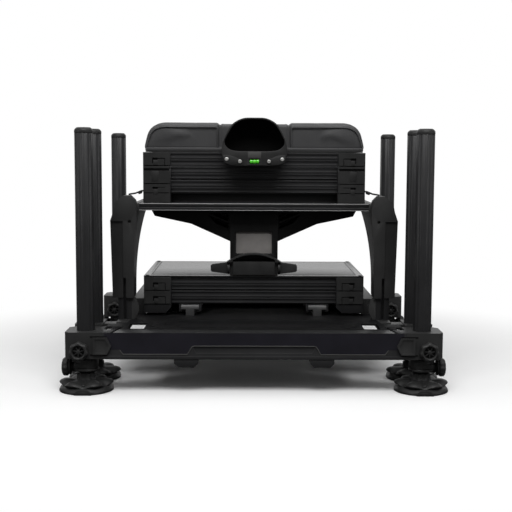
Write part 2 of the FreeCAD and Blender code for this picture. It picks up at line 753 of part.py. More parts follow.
def make_side_frame(side):
    lug_x = ends(side, rail_outer, leg_x - s.barrelInner)
    rail_x = ends(side, rail_inner, rail_outer)
    rail_low = s.railTop - s.railHeight
    pieces = [block(rail_x, (-s.frontRow - 18, s.rearRow + 17), (rail_low, s.railTop))]
    for row in (-s.frontRow, s.rearRow):
        pieces.append(clamp_block(side, row, s.barrelInner, (s.castBottom - 3, cast_top - 3)))
        pieces.append(block(lug_x, (row - 15, row + 15), (rail_low, rail_low + s.lugHeight)))
    inner, outer = rail_inner - s.gussetWidth, rail_inner
    corner = s.gussetWidth * 0.55
    low, high = s.railTop, s.railTop + s.gussetHeight
    outline = [
        (outer + 2, low - corner), (inner + corner, low), (inner, low + corner * 2),
        (inner, high - corner * 2), (inner + corner, high), (outer, high), (outer, low), (outer + 2, low)]
    gusset = prism("y", [(side * u, v) for u, v in outline], (upright_front, upright_front + s.gussetThick))
    shelf_y = (-s.caseFront + s.bracketFront, -s.caseFront + s.caseDepth - s.bracketRear)
    shelf = block(ends(side, s.caseHalf, rail_inner + s.bracketLap), shelf_y,
                  (s.railTop, s.railTop + s.bracketHeight))
    return fuse(*pieces, shelf, gusset)


def make_upright(side):
    x = ends(side, rail_inner, rail_outer)
    middle = side * (rail_inner + s.railWidth / 2)
    z = (s.railTop, s.uprightTop)
    half, wide = s.grooveWidth / 2, s.grooveWidth
    body = block(x, (upright_front, upright_back), z)
    mouth = block((middle - half, middle + half), (upright_front, upright_front + s.grooveDepth), z)
    throat = block((middle - wide, middle + wide), (upright_front + 3, upright_front + s.grooveDepth), z)
    back_mouth = block((middle - half, middle + half), (upright_back - s.grooveDepth, upright_back), z)
    core = rod("z", s.grooveWidth / 2, z, (middle, upright_front + s.railWidth / 2))
    return cut(body, mouth, throat, back_mouth, core)


node("side_frame_left", make_side_frame(-1))
node("side_frame_right", make_side_frame(1))
node("uprights", group(make_upright(-1), make_upright(1)))


# Cases: corner blocks, ribbed walls and drawers, used for the lower and the upper case

case_front = -s.caseFront
case_back = case_front + s.caseDepth
wall_half = s.caseHalf - s.caseInset


def rib_grooves(low, high):
    """Limits on Z of a tier's grooves: two broad ones, and a fine one in the rib between them."""
    middle = (low + high) / 2
    offset = s.grooveOffset
    grooves = ((middle - offset, s.broadGroove), (middle, s.fineGroove), (middle + offset, s.broadGroove))
    return [(height - tall / 2, height + tall / 2) for height, tall in grooves]


def grooves_along_x(x, face, low, high):
    """Grooves in a wall that faces the front or the back."""
    return [block(x, (face - s.ribDepth, face + s.ribDepth), z) for z in rib_grooves(low, high)]


def grooves_along_y(face, y, low, high):
    return [block((face - s.ribDepth, face + s.ribDepth), y, z) for z in rib_grooves(low, high)]


def corner_blocks(low, high, bevel):
    """Four corner blocks between two heights; a bevel above zero slants their lower inner ends."""
    pieces = []
    for side in sides.values():
        inner, outer = side * bay_half, side * s.caseHalf
        slant = side * bevel
        for y in ((case_front, case_front + s.blockDepth), (case_back - s.blockDepth, case_back)):
            if bevel:
                foot = [(inner, low + bevel), (inner + slant, low), (outer, low)]
                outline = foot + [(outer, high), (inner, high)]
                pieces.append(prism("y", outline, y))
            else:
                pieces.append(block(ends(side, bay_half, s.caseHalf), y, (low, high)))
    return pieces


def catch_slots(top):
    """One catch slot in each front corner block, below the top of a tier."""
    y = (case_front, case_front + s.slotDeep)
    z = (top - s.slotDrop - s.slotTall, top - s.slotDrop)
    slots = []
    for side in sides.values():
        middle = side * (s.caseHalf - s.slotMiddle)
        slots.append(block((middle - s.slotWide / 2, middle + s.slotWide / 2), y, z))
    return slots


def make_housing(bottom, tier_height, foot_bottom, bevel):
    """An open-fronted case for two drawers, one above the other."""
    top = bottom + tier_height * 2
    front = case_front + s.caseInset
    shell = block((-wall_half, wall_half), (front, case_back - s.caseInset), (bottom, top))
    cuts = []
    bay_x = (-bay_half, bay_half)
    y_walls = (case_front + s.blockDepth, case_back - s.blockDepth)
    for tier in range(2):
        low = bottom + tier_height * tier
        high = low + tier_height
        cuts.append(block(bay_x, (case_front, case_back - s.caseInset - s.caseWall),
                          (low + s.caseWall, high - s.caseWall * tier)))
        cuts.append(block(bay_x, (case_front, front + s.shelfInset), (low, low + s.caseWall)))
        for side in sides.values():
            cuts += grooves_along_y(side * wall_half, y_walls, low, high)
        cuts += grooves_along_x(bay_x, case_back - s.caseInset, low, high)
        cuts += catch_slots(high)
    pockets = []
    for side in sides.values():
        x = ends(side, bay_half + s.caseWall, wall_half - s.caseWall - s.ribDepth)
        pockets.append(block(x, y_walls, (bottom + s.caseWall, top - s.caseWall)))
    return cut(fuse(shell, *corner_blocks(foot_bottom, top, bevel)), *cuts, *pockets)


def make_drawer(bottom, tier_height, tier):
    low = bottom + tier_height * tier + s.caseWall + s.drawerGap
    high = bottom + tier_height * (tier + 1) - s.caseWall * tier - s.drawerGap
    half = bay_half - s.drawerGap
    front = case_front + s.caseInset
    back = case_back - s.caseInset - s.caseWall - s.drawerGap
    body = block((-half, half), (front, back), (low, high))
    room = block((-half + s.drawerWall, half - s.drawerWall), (front + s.drawerFace, back - s.drawerWall),
                 (low + s.drawerWall, high))
    tier_low = bottom + tier_height * tier
    return cut(body, room, *grooves_along_x((-half, half), front, tier_low, tier_low + tier_height))


lower_top = s.lowerBottom + s.lowerTier * 2
lower_case = (s.lowerBottom, s.lowerTier)
upper_case = (s.upperBottom, s.tierHeight)
node("lower_case", make_housing(*lower_case, s.lowerBottom - s.blockFoot, 12))
node("lower_drawer_bottom", make_drawer(*lower_case, 0))
node("lower_drawer_top", make_drawer(*lower_case, 1))
node("upper_case", make_housing(*upper_case, s.deckBottom + s.deckThick, 0))
node("upper_drawer_bottom", make_drawer(*upper_case, 0))
node("upper_drawer_top", make_drawer(*upper_case, 1))


def make_lid():
    """Lid of the lower case, with a groove round its top and a raised pad at each corner."""
    low = lower_top
    high = low + s.lidThick
    body = block((-s.caseHalf, s.caseHalf), (case_front, case_back), (low, high))
    edge, strip = s.lidMargin, 2
    half = s.caseHalf - edge
    front, back = case_front + edge, case_back - edge
    groove_z = (high - s.lidGroove, high)
    inside = block((-half + strip, half - strip), (front + strip, back - strip), groove_z)
    ring = cut(block((-half, half), (front, back), groove_z), inside)
    pads = []
    for side in sides.values():
        for y in (case_front + edge / 2, case_back - edge / 2):
            pads.append(rod("z", 4, (high, high + 1.5), (side * (s.caseHalf - edge / 2), y)))
    return fuse(cut(body, ring), *pads)


node("lower_lid", make_lid())


# Pedestal: a post on the lower lid, a winged sleeve over it, and a clamp with its handle

lid_top = lower_top + s.lidThick
column_front = -s.columnFront
column_back = column_front + s.columnDepth
column_middle = column_front + s.columnDepth / 2
bore_half = s.columnHalf - s.columnWall
bore_y = (column_front + s.columnWall, column_back - s.columnWall)
post_half = bore_half - s.slideGap
post_y = (bore_y[0] + s.slideGap, bore_y[1] - s.slideGap)
clamp_bottom = lid_top + s.flangeThick + s.slideGap
clamp_top = s.columnBottom
shaft_y = column_front - s.clampProud / 2 + 3


def make_post():
    low = lid_top
    flange_y = (column_front - 12, column_back + 10)
    flange = block((-s.columnHalf, s.columnHalf), flange_y, (low, low + s.flangeThick))
    post = block((-post_half, post_half), post_y, (low, s.postTop))
    hollow = block((-post_half + s.postWall, post_half - s.postWall),
                   (post_y[0] + s.postWall, post_y[1] - s.postWall),
                   (low + s.flangeThick, s.postTop - s.postWall))
    drain = rod("z", 10, (low, low + s.flangeThick), (0, column_middle))
    return cut(fuse(flange, post), hollow, drain)


def make_column():
    low, high = s.columnBottom, s.deckBottom
    sleeve = block((-s.columnHalf, s.columnHalf), (column_front, column_back), (low, high))
    bore = block((-bore_half, bore_half), bore_y, (low, high - s.columnWall))
    window = block((-s.windowHalf, s.windowHalf), (column_front, bore_y[0]), (s.windowBottom, s.windowTop))
    wing_y = (column_middle - s.wingDepth / 2, column_middle + s.wingDepth / 2)
    wings, gaps = [], []
    for side in sides.values():
        root, tip, knee = side * s.columnHalf, side * s.wingReach, side * s.wingKnee
        wings.append(prism("y", [
            (root, high - s.wingRoot), (knee, high - s.wingKneeDrop), (tip - side * 8, high - s.wingTip),
            (tip, high), (root, high)], wing_y))
        start = s.columnHalf + 4
        gaps.append(prism("y", [
            (side * start, high - 8), (side * (start + 42), high - 8), (side * start, high - 26)], wing_y))
        gaps.append(prism("y", [
            (side * start, high - 31), (side * (start + 44), high - 12), (side * (start + 28), high - 30),
            (side * start, high - 42)], wing_y))
    return cut(fuse(sleeve, *wings), bore, window, *gaps)


def make_clamp():
    low, high = clamp_bottom, clamp_top
    front = column_front - s.clampProud
    ring = block((-s.columnHalf, s.columnHalf), (front + 7, column_back + 5), (low, high))
    nose = block((-s.columnHalf + 7, s.columnHalf - 7), (front, column_front), (low, high))
    radius = (s.hoodHalf * s.hoodHalf + s.hoodRise * s.hoodRise) / (2 * s.hoodRise)
    crown = high - 1 + s.hoodRise
    centre = crown - radius
    y = (front - 2, column_front - s.slideGap)
    arch = cut(rod("y", radius, y, (0, centre)), rod("y", radius - s.hoodThick, y, (0, centre)),
               block((-radius - 1, radius + 1), (y[0] - 1, y[1] + 1), (centre - radius - 1, high - 1)))
    cheeks = []
    for side in sides.values():
        cheeks.append(block(ends(side, s.columnHalf - 6, s.columnHalf), y, (high - 1, high + 3)))
    bore = block((-bore_half, bore_half), bore_y, (low, high))
    shaft_hole = s.shaftDiameter / 2 + s.turnGap
    shaft = rod("x", shaft_hole, (-s.columnHalf, s.columnHalf), (shaft_y, s.shaftHeight))
    return cut(fuse(ring, nose, arch, *cheeks), bore, shaft)


def make_handle():
    pieces = [rod("x", s.shaftDiameter / 2, (-s.columnHalf - 2, s.columnHalf + 2), (shaft_y, s.shaftHeight))]
    y = (shaft_y - s.paddleThick / 2, shaft_y + s.paddleThick / 2)
    for side in sides.values():
        hub = s.columnHalf + s.slideGap
        root, tip = s.paddleRoot / 2, s.paddleTip / 2
        reach = s.paddleReach
        pieces.append(rod("x", root + 0.6, ends(side, hub, hub + 5), (shaft_y, s.shaftHeight)))
        outline = [
            (hub + 3, -root), (reach - 3, -tip - 1), (reach, 2 - tip), (reach, tip - 2),
            (reach - 3, tip + 1), (hub + 3, root)]
        pieces.append(prism("y", [(side * u, s.shaftHeight + v) for u, v in outline], y))
    return fuse(*pieces)


deck_half = s.caseHalf + s.deckMargin


def make_deck():
    low, high = s.deckBottom, s.deckBottom + s.deckThick
    y = (-s.deckFront, s.deckRear)
    body = block((-deck_half, deck_half), y, (low, high))
    middle = (low + high) / 2
    band = (middle - s.deckGroove / 2, middle + s.deckGroove / 2)
    grooves = [block((-deck_half, deck_half), (face - 2, face + 2), band) for face in y]
    front, back = case_front + s.plinthInset, case_back - s.plinthInset
    wall = s.plinthWall
    plinth = block((-bay_half, bay_half), (front, back), (high, s.upperBottom))
    room_x = (-bay_half + wall, bay_half - wall)
    room = block(room_x, (front + wall, back - wall), (high, s.upperBottom - wall))
    return fuse(cut(body, *grooves), cut(plinth, room))


node("column_post", make_post())
node("column", make_column())
node("column_clamp", make_clamp())
node("clamp_handle", make_handle())
node("deck", make_deck())


# Arms: each slides on its upright and carries the deck's side on a tapering web

arm_front = -s.armFront
arm_back = arm_front + s.armDepth
arm_outer_low = rail_outer + s.armWall
arm_outer_high = rail_outer + s.armShoulder
arm_inner_high = deck_half + s.armGap
arm_inner_low = arm_inner_high + s.armLean


def make_arm(side):
    low, high = s.armBottom, s.armTop
    deck_top = s.deckBottom + s.deckThick
    outline = [
        (arm_outer_low, low), (arm_outer_high - 1, s.armStep - 30), (arm_outer_high, s.armStep),
        (arm_outer_high - 7, s.armStep + 20), (arm_outer_high - 11, high - 12), (arm_outer_high - 28, high),
        (arm_inner_high + 15, high), (arm_inner_high + 5, high - 10), (arm_inner_high, high - 28),
        (arm_inner_high, s.armStep), (arm_inner_high + 5, s.armStep - 40), (arm_inner_low, low)]
    post = prism("y", [(side * u, v) for u, v in outline], (arm_front, arm_back))
    web_low = low + s.armWeb
    rear = s.armWebRear
    web_outline = [(arm_back, web_low), (rear, s.deckBottom - 13), (rear, deck_top), (arm_back, deck_top)]
    web = prism("x", web_outline, ends(side, arm_inner_low - 1, arm_inner_low - 1 + s.armWeb))
    shelf = block(ends(side, deck_half, arm_inner_low + 1), (arm_back - 10, rear), (s.deckBottom, deck_top))
    gap = s.slideGap
    room = block(ends(side, rail_inner - gap, rail_outer + gap), (upright_front - gap, upright_back + gap),
                 (low, s.uprightTop + 0.5))
    middle = side * (rail_inner + s.railWidth / 2)
    slot = block((middle - s.grooveWidth / 2, middle + s.grooveWidth / 2), (arm_front, upright_front),
                 (low, low + s.armSlot))
    sunk = block(ends(side, rail_inner + s.railWidth * 0.6, arm_outer_high + 1),
                 (arm_front, arm_front + s.armStepDepth), (low, s.armStep))
    screw_x = side * (rail_inner + 3)
    screw = rod("y", s.armScrew / 2, (arm_front, arm_front + 5), (screw_x, s.armScrewHeight))
    return cut(fuse(post, web, shelf), room, slot, sunk, screw)


def make_clip(side):
    """A thin curved strap from the top of an arm to the case beside it, with a small knob."""
    y = (arm_back - 8, arm_back - 8 + s.clipWidth)
    thick = s.clipThick
    top, inner, case = s.armTop, arm_inner_high, s.caseHalf
    outline = [
        (inner + 20, top), (inner + 6, top + 2), (case + 3, top + 7), (case, top + 7),
        (case, top + 7 + thick), (case + 4, top + 7 + thick), (inner + 7, top + 2 + thick),
        (inner + 20, top + thick)]
    strap = prism("y", [(side * u, v) for u, v in outline], y)
    knob = rod("y", 3, (y[0] - 2, y[1] + 2), (side * (s.caseHalf + 6), top + 5))
    return fuse(strap, knob)


node("arm_left", make_arm(-1))
node("arm_right", make_arm(1))
node("arm_clips", group(make_clip(-1), make_clip(1)))


# Seat: tray under the seat, hinged board, cushion, hinge pins

tray_low = s.upperBottom + s.tierHeight * 2
seat_half = s.caseHalf - s.seatInset
tray_high = tray_low + s.tierHeight - 0.4
hinge_y = s.seatRear + s.hingeKnuckle + 0.6
hinge_z = tray_high + s.seatGap + s.boardPlate / 2
pin_hole = s.hingePin / 2 + s.turnGap


def hinge_spans(outer_only):
    """Limits on X of the tray's two outer knuckles, or of the board's middle one, at both hinges."""
    spans = []
    for side in sides.values():
        middle = side * s.hingeSpacing / 2
        half, inner = s.hingeLength / 2, s.hingeLength / 6
        if outer_only:
            spans += [(middle - half, middle - inner), (middle + inner, middle + half)]
        else:
            spans.append((middle - inner + 0.4, middle + inner - 0.4))
    return spans


def make_tray():
    back = case_back - s.caseInset
    shell = block((-wall_half, wall_half), (case_front + s.caseInset, back), (tray_low, tray_high))
    blocks = corner_blocks(tray_low, tray_high, 0)
    wall = s.caseWall + s.ribDepth
    room_z = (tray_low + s.caseWall, tray_high)
    side_y = (case_front + s.blockDepth, case_back - s.blockDepth)
    rooms = [block((-bay_half, bay_half), (case_front + s.caseInset + wall, back - wall), room_z)]
    cuts = grooves_along_x((-bay_half, bay_half), case_front + s.caseInset, tray_low, tray_high)
    cuts += grooves_along_x((-bay_half, bay_half), back, tray_low, tray_high)
    for side in sides.values():
        rooms.append(block(ends(side, bay_half, wall_half - wall), side_y, room_z))
        cuts += grooves_along_y(side * wall_half, side_y, tray_low, tray_high)
    cuts += catch_slots(tray_high)
    lugs, holes = [], []
    for span in hinge_spans(True):
        lugs.append(rod("x", s.hingeKnuckle, span, (hinge_y, hinge_z)))
        lugs.append(block(span, (back - s.caseWall, hinge_y), (hinge_z - 12, hinge_z - 3)))
        lugs.append(block(span, (hinge_y - 2, hinge_y + s.hingeKnuckle - 0.5), (hinge_z - 12, hinge_z)))
        holes.append(rod("x", pin_hole, span, (hinge_y, hinge_z)))
    return cut(fuse(cut(fuse(shell, *blocks), *rooms, *cuts), *lugs), *holes)


def make_seat_board():
    low = tray_high + s.seatGap
    high = low + s.boardPlate
    plate = block((-seat_half, seat_half), (-s.seatFront, s.seatRear), (low, high))
    pieces, holes = [plate], []
    for span in hinge_spans(False):
        pieces.append(rod("x", s.hingeKnuckle, span, (hinge_y, hinge_z)))
        pieces.append(block(span, (s.seatRear - 1, hinge_y), (low, high)))
        holes.append(rod("x", pin_hole, span, (hinge_y, hinge_z)))
    return cut(fuse(*pieces), *holes)


def make_pins():
    pins = []
    half = s.hingeLength / 2
    for side in sides.values():
        middle = side * s.hingeSpacing / 2
        pins.append(rod("x", s.hingePin / 2, (middle - half, middle + half), (hinge_y, hinge_z)))
    return group(*pins)


def cushion_section(y, inset, drop):
    """Front-view outline of the cushion at one depth, drawn in at the sides and lowered at the top."""
    low = (tray_high + s.seatGap + s.boardPlate).number
    high = low + s.cushionHeight.number - drop
    half = seat_half.number - inset
    corner = s.cushionCorner.number
    seam = s.channelHalf.number
    dip, seam_dip = s.channelDip.number, s.seamDip.number
    bulge = 2.5

    def at(x, z):
        return Vector(x, y, z)

    def arc(start, middle, end):
        return Part.Arc(at(*start), at(*middle), at(*end)).toShape()

    def line(start, end):
        return Part.LineSegment(at(*start), at(*end)).toShape()

    slant = corner * (1 - math.sqrt(0.5))
    edges = []
    for side in (1, -1):
        foot, shoulder = (side * (half - bulge), low), (side * half, high - corner)
        brow = (side * (half - corner), high - seam_dip * 0.3)
        edge = (side * (seam + 5), high - seam_dip * 0.3)
        trough = (side * seam, high - seam_dip - dip)
        half_edges = [
            (arc, foot, (side * (half + bulge * 0.3), (low + high - corner) / 2), shoulder),
            (arc, shoulder, (side * (half - slant), high - slant), brow),
            (arc, brow, (side * (half + seam) / 2, high + 1.5), edge),
            (line, edge, trough)]
        if side > 0:
            edges += [kind(*points) for kind, *points in half_edges]
            edges.append(arc(trough, (0, high - dip), (-seam, high - seam_dip - dip)))
        else:
            edges += [kind(*reversed(points)) for kind, *points in reversed(half_edges)]
            edges.append(line(foot, (half - bulge, low)))
    return Part.Wire(edges)


def make_cushion():
    """Ruled loft through front-view sections; the ends are drawn in and the middle is crowned."""
    front, rear = -s.seatFront.number, s.seatRear.number
    length = rear - front
    crown = s.cushionCrown.number
    stations = [(0, 7, 9), (0.012, 2.5, 4.5), (0.035, 0.8, 2), (0.1, 0, 1), (0.3, 0, 0.3), (0.5, 0, 0)]
    stations += [(1 - share, inset, drop) for share, inset, drop in reversed(stations[:-1])]
    sections = []
    for share, inset, drop in stations:
        sections.append(cushion_section(front + length * share, inset, drop * crown / 3))
    item = doc.addObject("Part::Feature", "Cushion")
    item.Shape = Part.makeLoft(sections, True, True)
    return item


node("seat_tray", make_tray())
node("seat_board", make_seat_board())
node("seat_hinge_pins", make_pins())
node("seat_cushion", make_cushion())


# Pole cup on the front of the tray, with its screws and spirit level

cup_front = -s.cupFront
vial_back = cup_front + s.vialDiameter
cup_screws = [(s.screwOuter, s.vialHeight + 4.5), (s.screwInner, s.vialHeight)]


def make_cup():
    top, low, half = s.cupTop, s.cupBottom, s.cupHalf
    outside = mirror_points([
        (half - 20, low), (half - 6, low + 9), (half, low + 22), (half - 1, low + 38), (half - 8, top - 33),
        (half - 22, top - 11), (half - 44, top)])
    wall = s.cupWall
    inside = mirror_points([
        (half - 33, s.cupFloor), (half - 12, s.cupFloor + 5), (half - wall - 1, low + 44),
        (half - 8 - wall, top - 35), (half - 22 - wall * 0.7, top - 11 - wall), (half - 44, top - wall)])
    cup_back = case_front + s.caseInset
    body = prism("y", outside, (cup_front, cup_back))
    hollow = prism("y", inside, (cup_front - 1, cup_back - s.cupBack))
    vial = s.vialDiameter / 2 + 0.2
    seat = block((-s.vialLength / 2 - 0.2, s.vialLength / 2 + 0.2), (cup_front, vial_back),
                 (s.vialHeight - vial, s.vialHeight + vial))
    holes = []
    for side in sides.values():
        for x, z in cup_screws:
            holes.append(rod("y", s.screwShank / 2, (cup_front, cup_front + s.screwLength), (side * x, z)))
    return cut(body, hollow, seat, *holes)


def make_screws():
    screws = []
    for side in sides.values():
        for x, z in cup_screws:
            head = rod("y", s.screwHead / 2, (cup_front - s.screwHeadHeight, cup_front), (side * x, z))
            shank = rod("y", s.screwShank / 2, (cup_front, cup_front + s.screwLength), (side * x, z))
            screws.append(fuse(head, shank))
    return group(*screws)


node("pole_cup", make_cup())
node("cup_screws", make_screws())
node("spirit_level", rod("x", s.vialDiameter / 2, (-s.vialLength / 2, s.vialLength / 2),
                         (vial_back - s.vialDiameter / 2, s.vialHeight)))


# Build, check and write

doc.recompute()
failed = [item.Label for item in doc.Objects if {"Invalid", "Error"} & set(item.State)]
if failed:
    raise RuntimeError(f"these objects failed: {failed}")
for item in nodes:
    if item.Shape.isNull() or not item.Shape.isValid() or not item.Shape.Solids:
        raise RuntimeError(f"{item.Label} has no valid solid")
for item in nodes:
    item.Shape.exportStep(f"parts/{item.Label}.step")
whole = Part.makeCompound([item.Shape for item in nodes]).BoundBox
print(f"{len(nodes)} nodes, X {whole.XMin:.1f} {whole.XMax:.1f}, Y {whole.YMin:.1f} {whole.YMax:.1f}, "
      f"Z {whole.ZMin:.1f} {whole.ZMax:.1f}")
for item in nodes:
    print(f"{item.Label}: {len(item.Shape.Solids)} solids, {item.Shape.Volume / 1000:.1f} cm3")
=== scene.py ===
import json
import math
import bpy
from mathutils import Matrix, Vector

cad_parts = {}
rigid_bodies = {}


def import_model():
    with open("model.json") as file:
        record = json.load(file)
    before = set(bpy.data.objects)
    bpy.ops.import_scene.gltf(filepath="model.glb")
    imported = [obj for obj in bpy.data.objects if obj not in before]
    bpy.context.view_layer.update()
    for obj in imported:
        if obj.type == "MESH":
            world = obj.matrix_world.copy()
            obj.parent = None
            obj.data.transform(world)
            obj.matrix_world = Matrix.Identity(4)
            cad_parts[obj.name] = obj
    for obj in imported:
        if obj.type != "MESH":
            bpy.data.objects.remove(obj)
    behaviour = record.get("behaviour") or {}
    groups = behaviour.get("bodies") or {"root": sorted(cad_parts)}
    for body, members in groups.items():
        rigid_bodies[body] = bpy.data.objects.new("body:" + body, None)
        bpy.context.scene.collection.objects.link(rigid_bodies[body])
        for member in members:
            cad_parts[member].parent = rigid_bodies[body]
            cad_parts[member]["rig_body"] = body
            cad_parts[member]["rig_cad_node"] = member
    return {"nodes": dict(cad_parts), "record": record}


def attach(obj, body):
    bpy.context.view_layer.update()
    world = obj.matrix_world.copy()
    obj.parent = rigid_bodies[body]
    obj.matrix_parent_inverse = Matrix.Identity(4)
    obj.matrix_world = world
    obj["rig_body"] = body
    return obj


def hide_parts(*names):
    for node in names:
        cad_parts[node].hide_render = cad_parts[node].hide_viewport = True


# Fishing seat box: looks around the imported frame. Lengths in the dictionaries are millimetres.

mm = 0.001
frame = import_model()
nodes = frame["nodes"]
bodyOf = {node: body for body, members in frame["record"]["behaviour"]["bodies"].items() for node in members}
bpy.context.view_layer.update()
rows = {"footplate": -263, "front": -150, "rear": 263}  # leg axes along Y
sides = {"left": -1, "right": 1}
legX = 330
spots = [(f"{row}_{side}", sides[side] * legX, rows[row], sides[side]) for row in rows for side in sides]


# Camera at the photograph's place

camera = {"place": (-14, -2203, 462), "pitch": 5.768, "yaw": 0.5, "roll": 0.25, "lens": 70.3, "sensor": 36}


def makeCamera():
    bpy.ops.object.camera_add(location=[v * mm for v in camera["place"]])
    eye = bpy.context.object
    eye.name = "photo_camera"
    eye.data.lens = camera["lens"]
    eye.data.sensor_width = camera["sensor"]
    turn = (Matrix.Rotation(math.radians(-camera["yaw"]), 4, "Z")
            @ Matrix.Rotation(math.radians(90 - camera["pitch"]), 4, "X")
            @ Matrix.Rotation(math.radians(camera["roll"]), 4, "Z"))
    eye.rotation_euler = turn.to_euler()
    eye.data.clip_start, eye.data.clip_end = 0.05, 60
    bpy.context.scene.camera = eye


makeCamera()
print("camera is in place")


# Node helper and colours; a colour is written as sRGB and read by the shaders as linear

def linear(code):
    parts = [int(code[i:i + 2], 16) / 255 for i in (1, 3, 5)]
    return [p / 12.92 if p <= 0.04045 else ((p + 0.055) / 1.055) ** 2.4 for p in parts] + [1]


def addNode(tree, kind, values=None, links=None, **settings):
    node = tree.nodes.new("ShaderNode" + kind)
    for key, value in settings.items():
        setattr(node, key, value)
    for key, value in (values or {}).items():
        node.inputs[key].default_value = value
    for key, socket in (links or {}).items():
        tree.links.new(socket, node.inputs[key])
    return node


def newMaterial(name):
    material = bpy.data.materials.new(name)
    material.use_nodes = True
    tree = material.node_tree
    tree.nodes.clear()
    shader = addNode(tree, "BsdfPrincipled")
    addNode(tree, "OutputMaterial", links={"Surface": shader.outputs["BSDF"]})
    return material, tree, shader


# The look's two tones, mixed in soft clouds
def clouded(tree, place, look, detail):
    cloud = addNode(tree, "TexNoise", {"Scale": 1 / (look["cloud"] * mm), "Detail": detail},
                    {"Vector": place})
    tone = addNode(tree, "MapRange", {"From Min": 0.3, "From Max": 0.7}, {"Value": cloud.outputs["Fac"]})
    colour = addNode(tree, "Mix", links={"Factor": tone.outputs["Result"]}, data_type="RGBA")
    colour.inputs["A"].default_value = linear(look["dark"])
    colour.inputs["B"].default_value = linear(look["light"])
    return colour


def surface(tree, shader, colour, gloss, bump):
    tree.links.new(colour.outputs["Result"], shader.inputs["Base Color"])
    tree.links.new(gloss.outputs["Result"], shader.inputs["Roughness"])
    tree.links.new(bump.outputs["Normal"], shader.inputs["Normal"])


# A surface with a fine grain: moulded nylon, powder coat or an anodic layer, as the dictionary says
def moulded(name, look):
    material, tree, shader = newMaterial(name)
    place = addNode(tree, "TexCoord").outputs["Object"]
    stretch = addNode(tree, "Mapping", {"Scale": look.get("stretch", (1, 1, 1))},
                      {"Vector": place}).outputs["Vector"]
    grain = addNode(tree, "TexNoise", {"Scale": 1 / (look["grain"] * mm), "Detail": 3, "Roughness": 0.6},
                    {"Vector": stretch})
    colour = clouded(tree, place, look, 2)
    low, high = look["roughness"]
    gloss = addNode(tree, "MapRange", {"From Min": 0.35, "From Max": 0.65, "To Min": low, "To Max": high},
                    {"Value": grain.outputs["Fac"]})
    bump = addNode(tree, "Bump", {"Strength": look["bump"], "Distance": look["depth"] * mm},
                   {"Height": grain.outputs["Fac"]})
    surface(tree, shader, colour, gloss, bump)
    shader.inputs["Metallic"].default_value = look.get("metallic", 0)
    shader.inputs["Specular IOR Level"].default_value = look.get("specular", 0.5)
    return material


# Black anodised tube: a thin dark oxide over drawn aluminium, soft stripes of light along it
anodisedTube = moulded("black anodised aluminium tube", {
    "dark": "#222223", "light": "#29292a", "grain": 0.9, "cloud": 60, "stretch": (1, 1, 0.06),
    "roughness": (0.34, 0.44), "bump": 0.25, "depth": 0.05, "specular": 0.3})
# The same finish on a profile that lies across the box, its drawing lines along X
anodisedProfile = moulded("black anodised aluminium profile", {
    "dark": "#202021", "light": "#272728", "grain": 0.9, "cloud": 80, "stretch": (0.06, 1, 1),
    "roughness": (0.36, 0.46), "bump": 0.25, "depth": 0.05, "specular": 0.3})
# The bar's front panel, a shade towards violet
barPanel = moulded("dark anodised panel", {
    "dark": "#18171d", "light": "#1e1d24", "grain": 0.9, "cloud": 50, "stretch": (0.06, 1, 1),
    "roughness": (0.4, 0.5), "bump": 0.2, "depth": 0.04, "specular": 0.25})
# Painted highlight: the deck's front edges coloured bright as if catching the overhead light
paintedEdgeHighlight = moulded("painted highlight on anodised edge", {
    "dark": "#8c8c8c", "light": "#acacac", "grain": 0.9, "cloud": 60, "stretch": (0.06, 1, 1),
    "roughness": (0.35, 0.45), "bump": 0.2, "depth": 0.04, "specular": 0.5})
# The pedestal's post, a grey satin oxide; its light grey also paints in the sheen of the pale floor it
# reflects
satinPostAndSheen = moulded("satin aluminium post with painted sheen", {
    "dark": "#5b5856", "light": "#6b6866", "grain": 0.9, "cloud": 30, "stretch": (1, 1, 0.08),
    "roughness": (0.4, 0.5), "bump": 0.2, "depth": 0.04, "specular": 0.4})
# Bare drawn aluminium, bright but scuffed
bareAlloy = moulded("mill finish aluminium", {
    "dark": "#a9a9aa", "light": "#c4c4c4", "grain": 0.8, "cloud": 30, "stretch": (1, 0.08, 1),
    "roughness": (0.28, 0.42), "bump": 0.2, "depth": 0.04, "metallic": 1})
# The footplate's walking surface, too rough to mirror the backdrop; its colour, darker than the other
# anodised parts, is painted shade
roughBoardAndShade = moulded("rough black anodised board with painted shade", {
    "dark": "#0b0b0c", "light": "#131314", "grain": 0.8, "cloud": 40,
    "roughness": (0.6, 0.7), "bump": 0.3, "depth": 0.06, "specular": 0.12})
# Cast alloy under black powder coat, a faint orange peel
powderCoat = moulded("black powder coat on cast alloy", {
    "dark": "#282828", "light": "#2f2f2f", "grain": 1.3, "cloud": 45,
    "roughness": (0.4, 0.52), "bump": 0.35, "depth": 0.12, "specular": 0.3})
# The pedestal's coat, darker than the other castings: painted shade under the deck
paintedShadeCoat = moulded("black powder coat with painted shade", {
    "dark": "#0c0c0c", "light": "#121212", "grain": 0.8, "cloud": 25,
    "roughness": (0.5, 0.6), "bump": 0.3, "depth": 0.06, "specular": 0.2})
# Glass-filled nylon from a spark-eroded mould, dull and finely grained
mouldedNylon = moulded("moulded black nylon", {
    "dark": "#202020", "light": "#282828", "grain": 0.7, "cloud": 25,
    "roughness": (0.42, 0.58), "bump": 0.4, "depth": 0.1, "specular": 0.3})
greyInsert = moulded("grey moulded nylon", {
    "dark": "#3c3c3b", "light": "#434342", "grain": 0.7, "cloud": 20,
    "roughness": (0.5, 0.6), "bump": 0.3, "depth": 0.08, "specular": 0.4})
# Painted shade: a near-black for the floors of slots and hollows, gaps, the inside of the pole cup and the
# webs behind the wing struts
paintedShade = moulded("painted shade in recesses", {
    "dark": "#0a0a0a", "light": "#0d0d0d", "grain": 1, "cloud": 20,
    "roughness": (0.8, 0.9), "bump": 0.1, "depth": 0.05, "specular": 0.1})
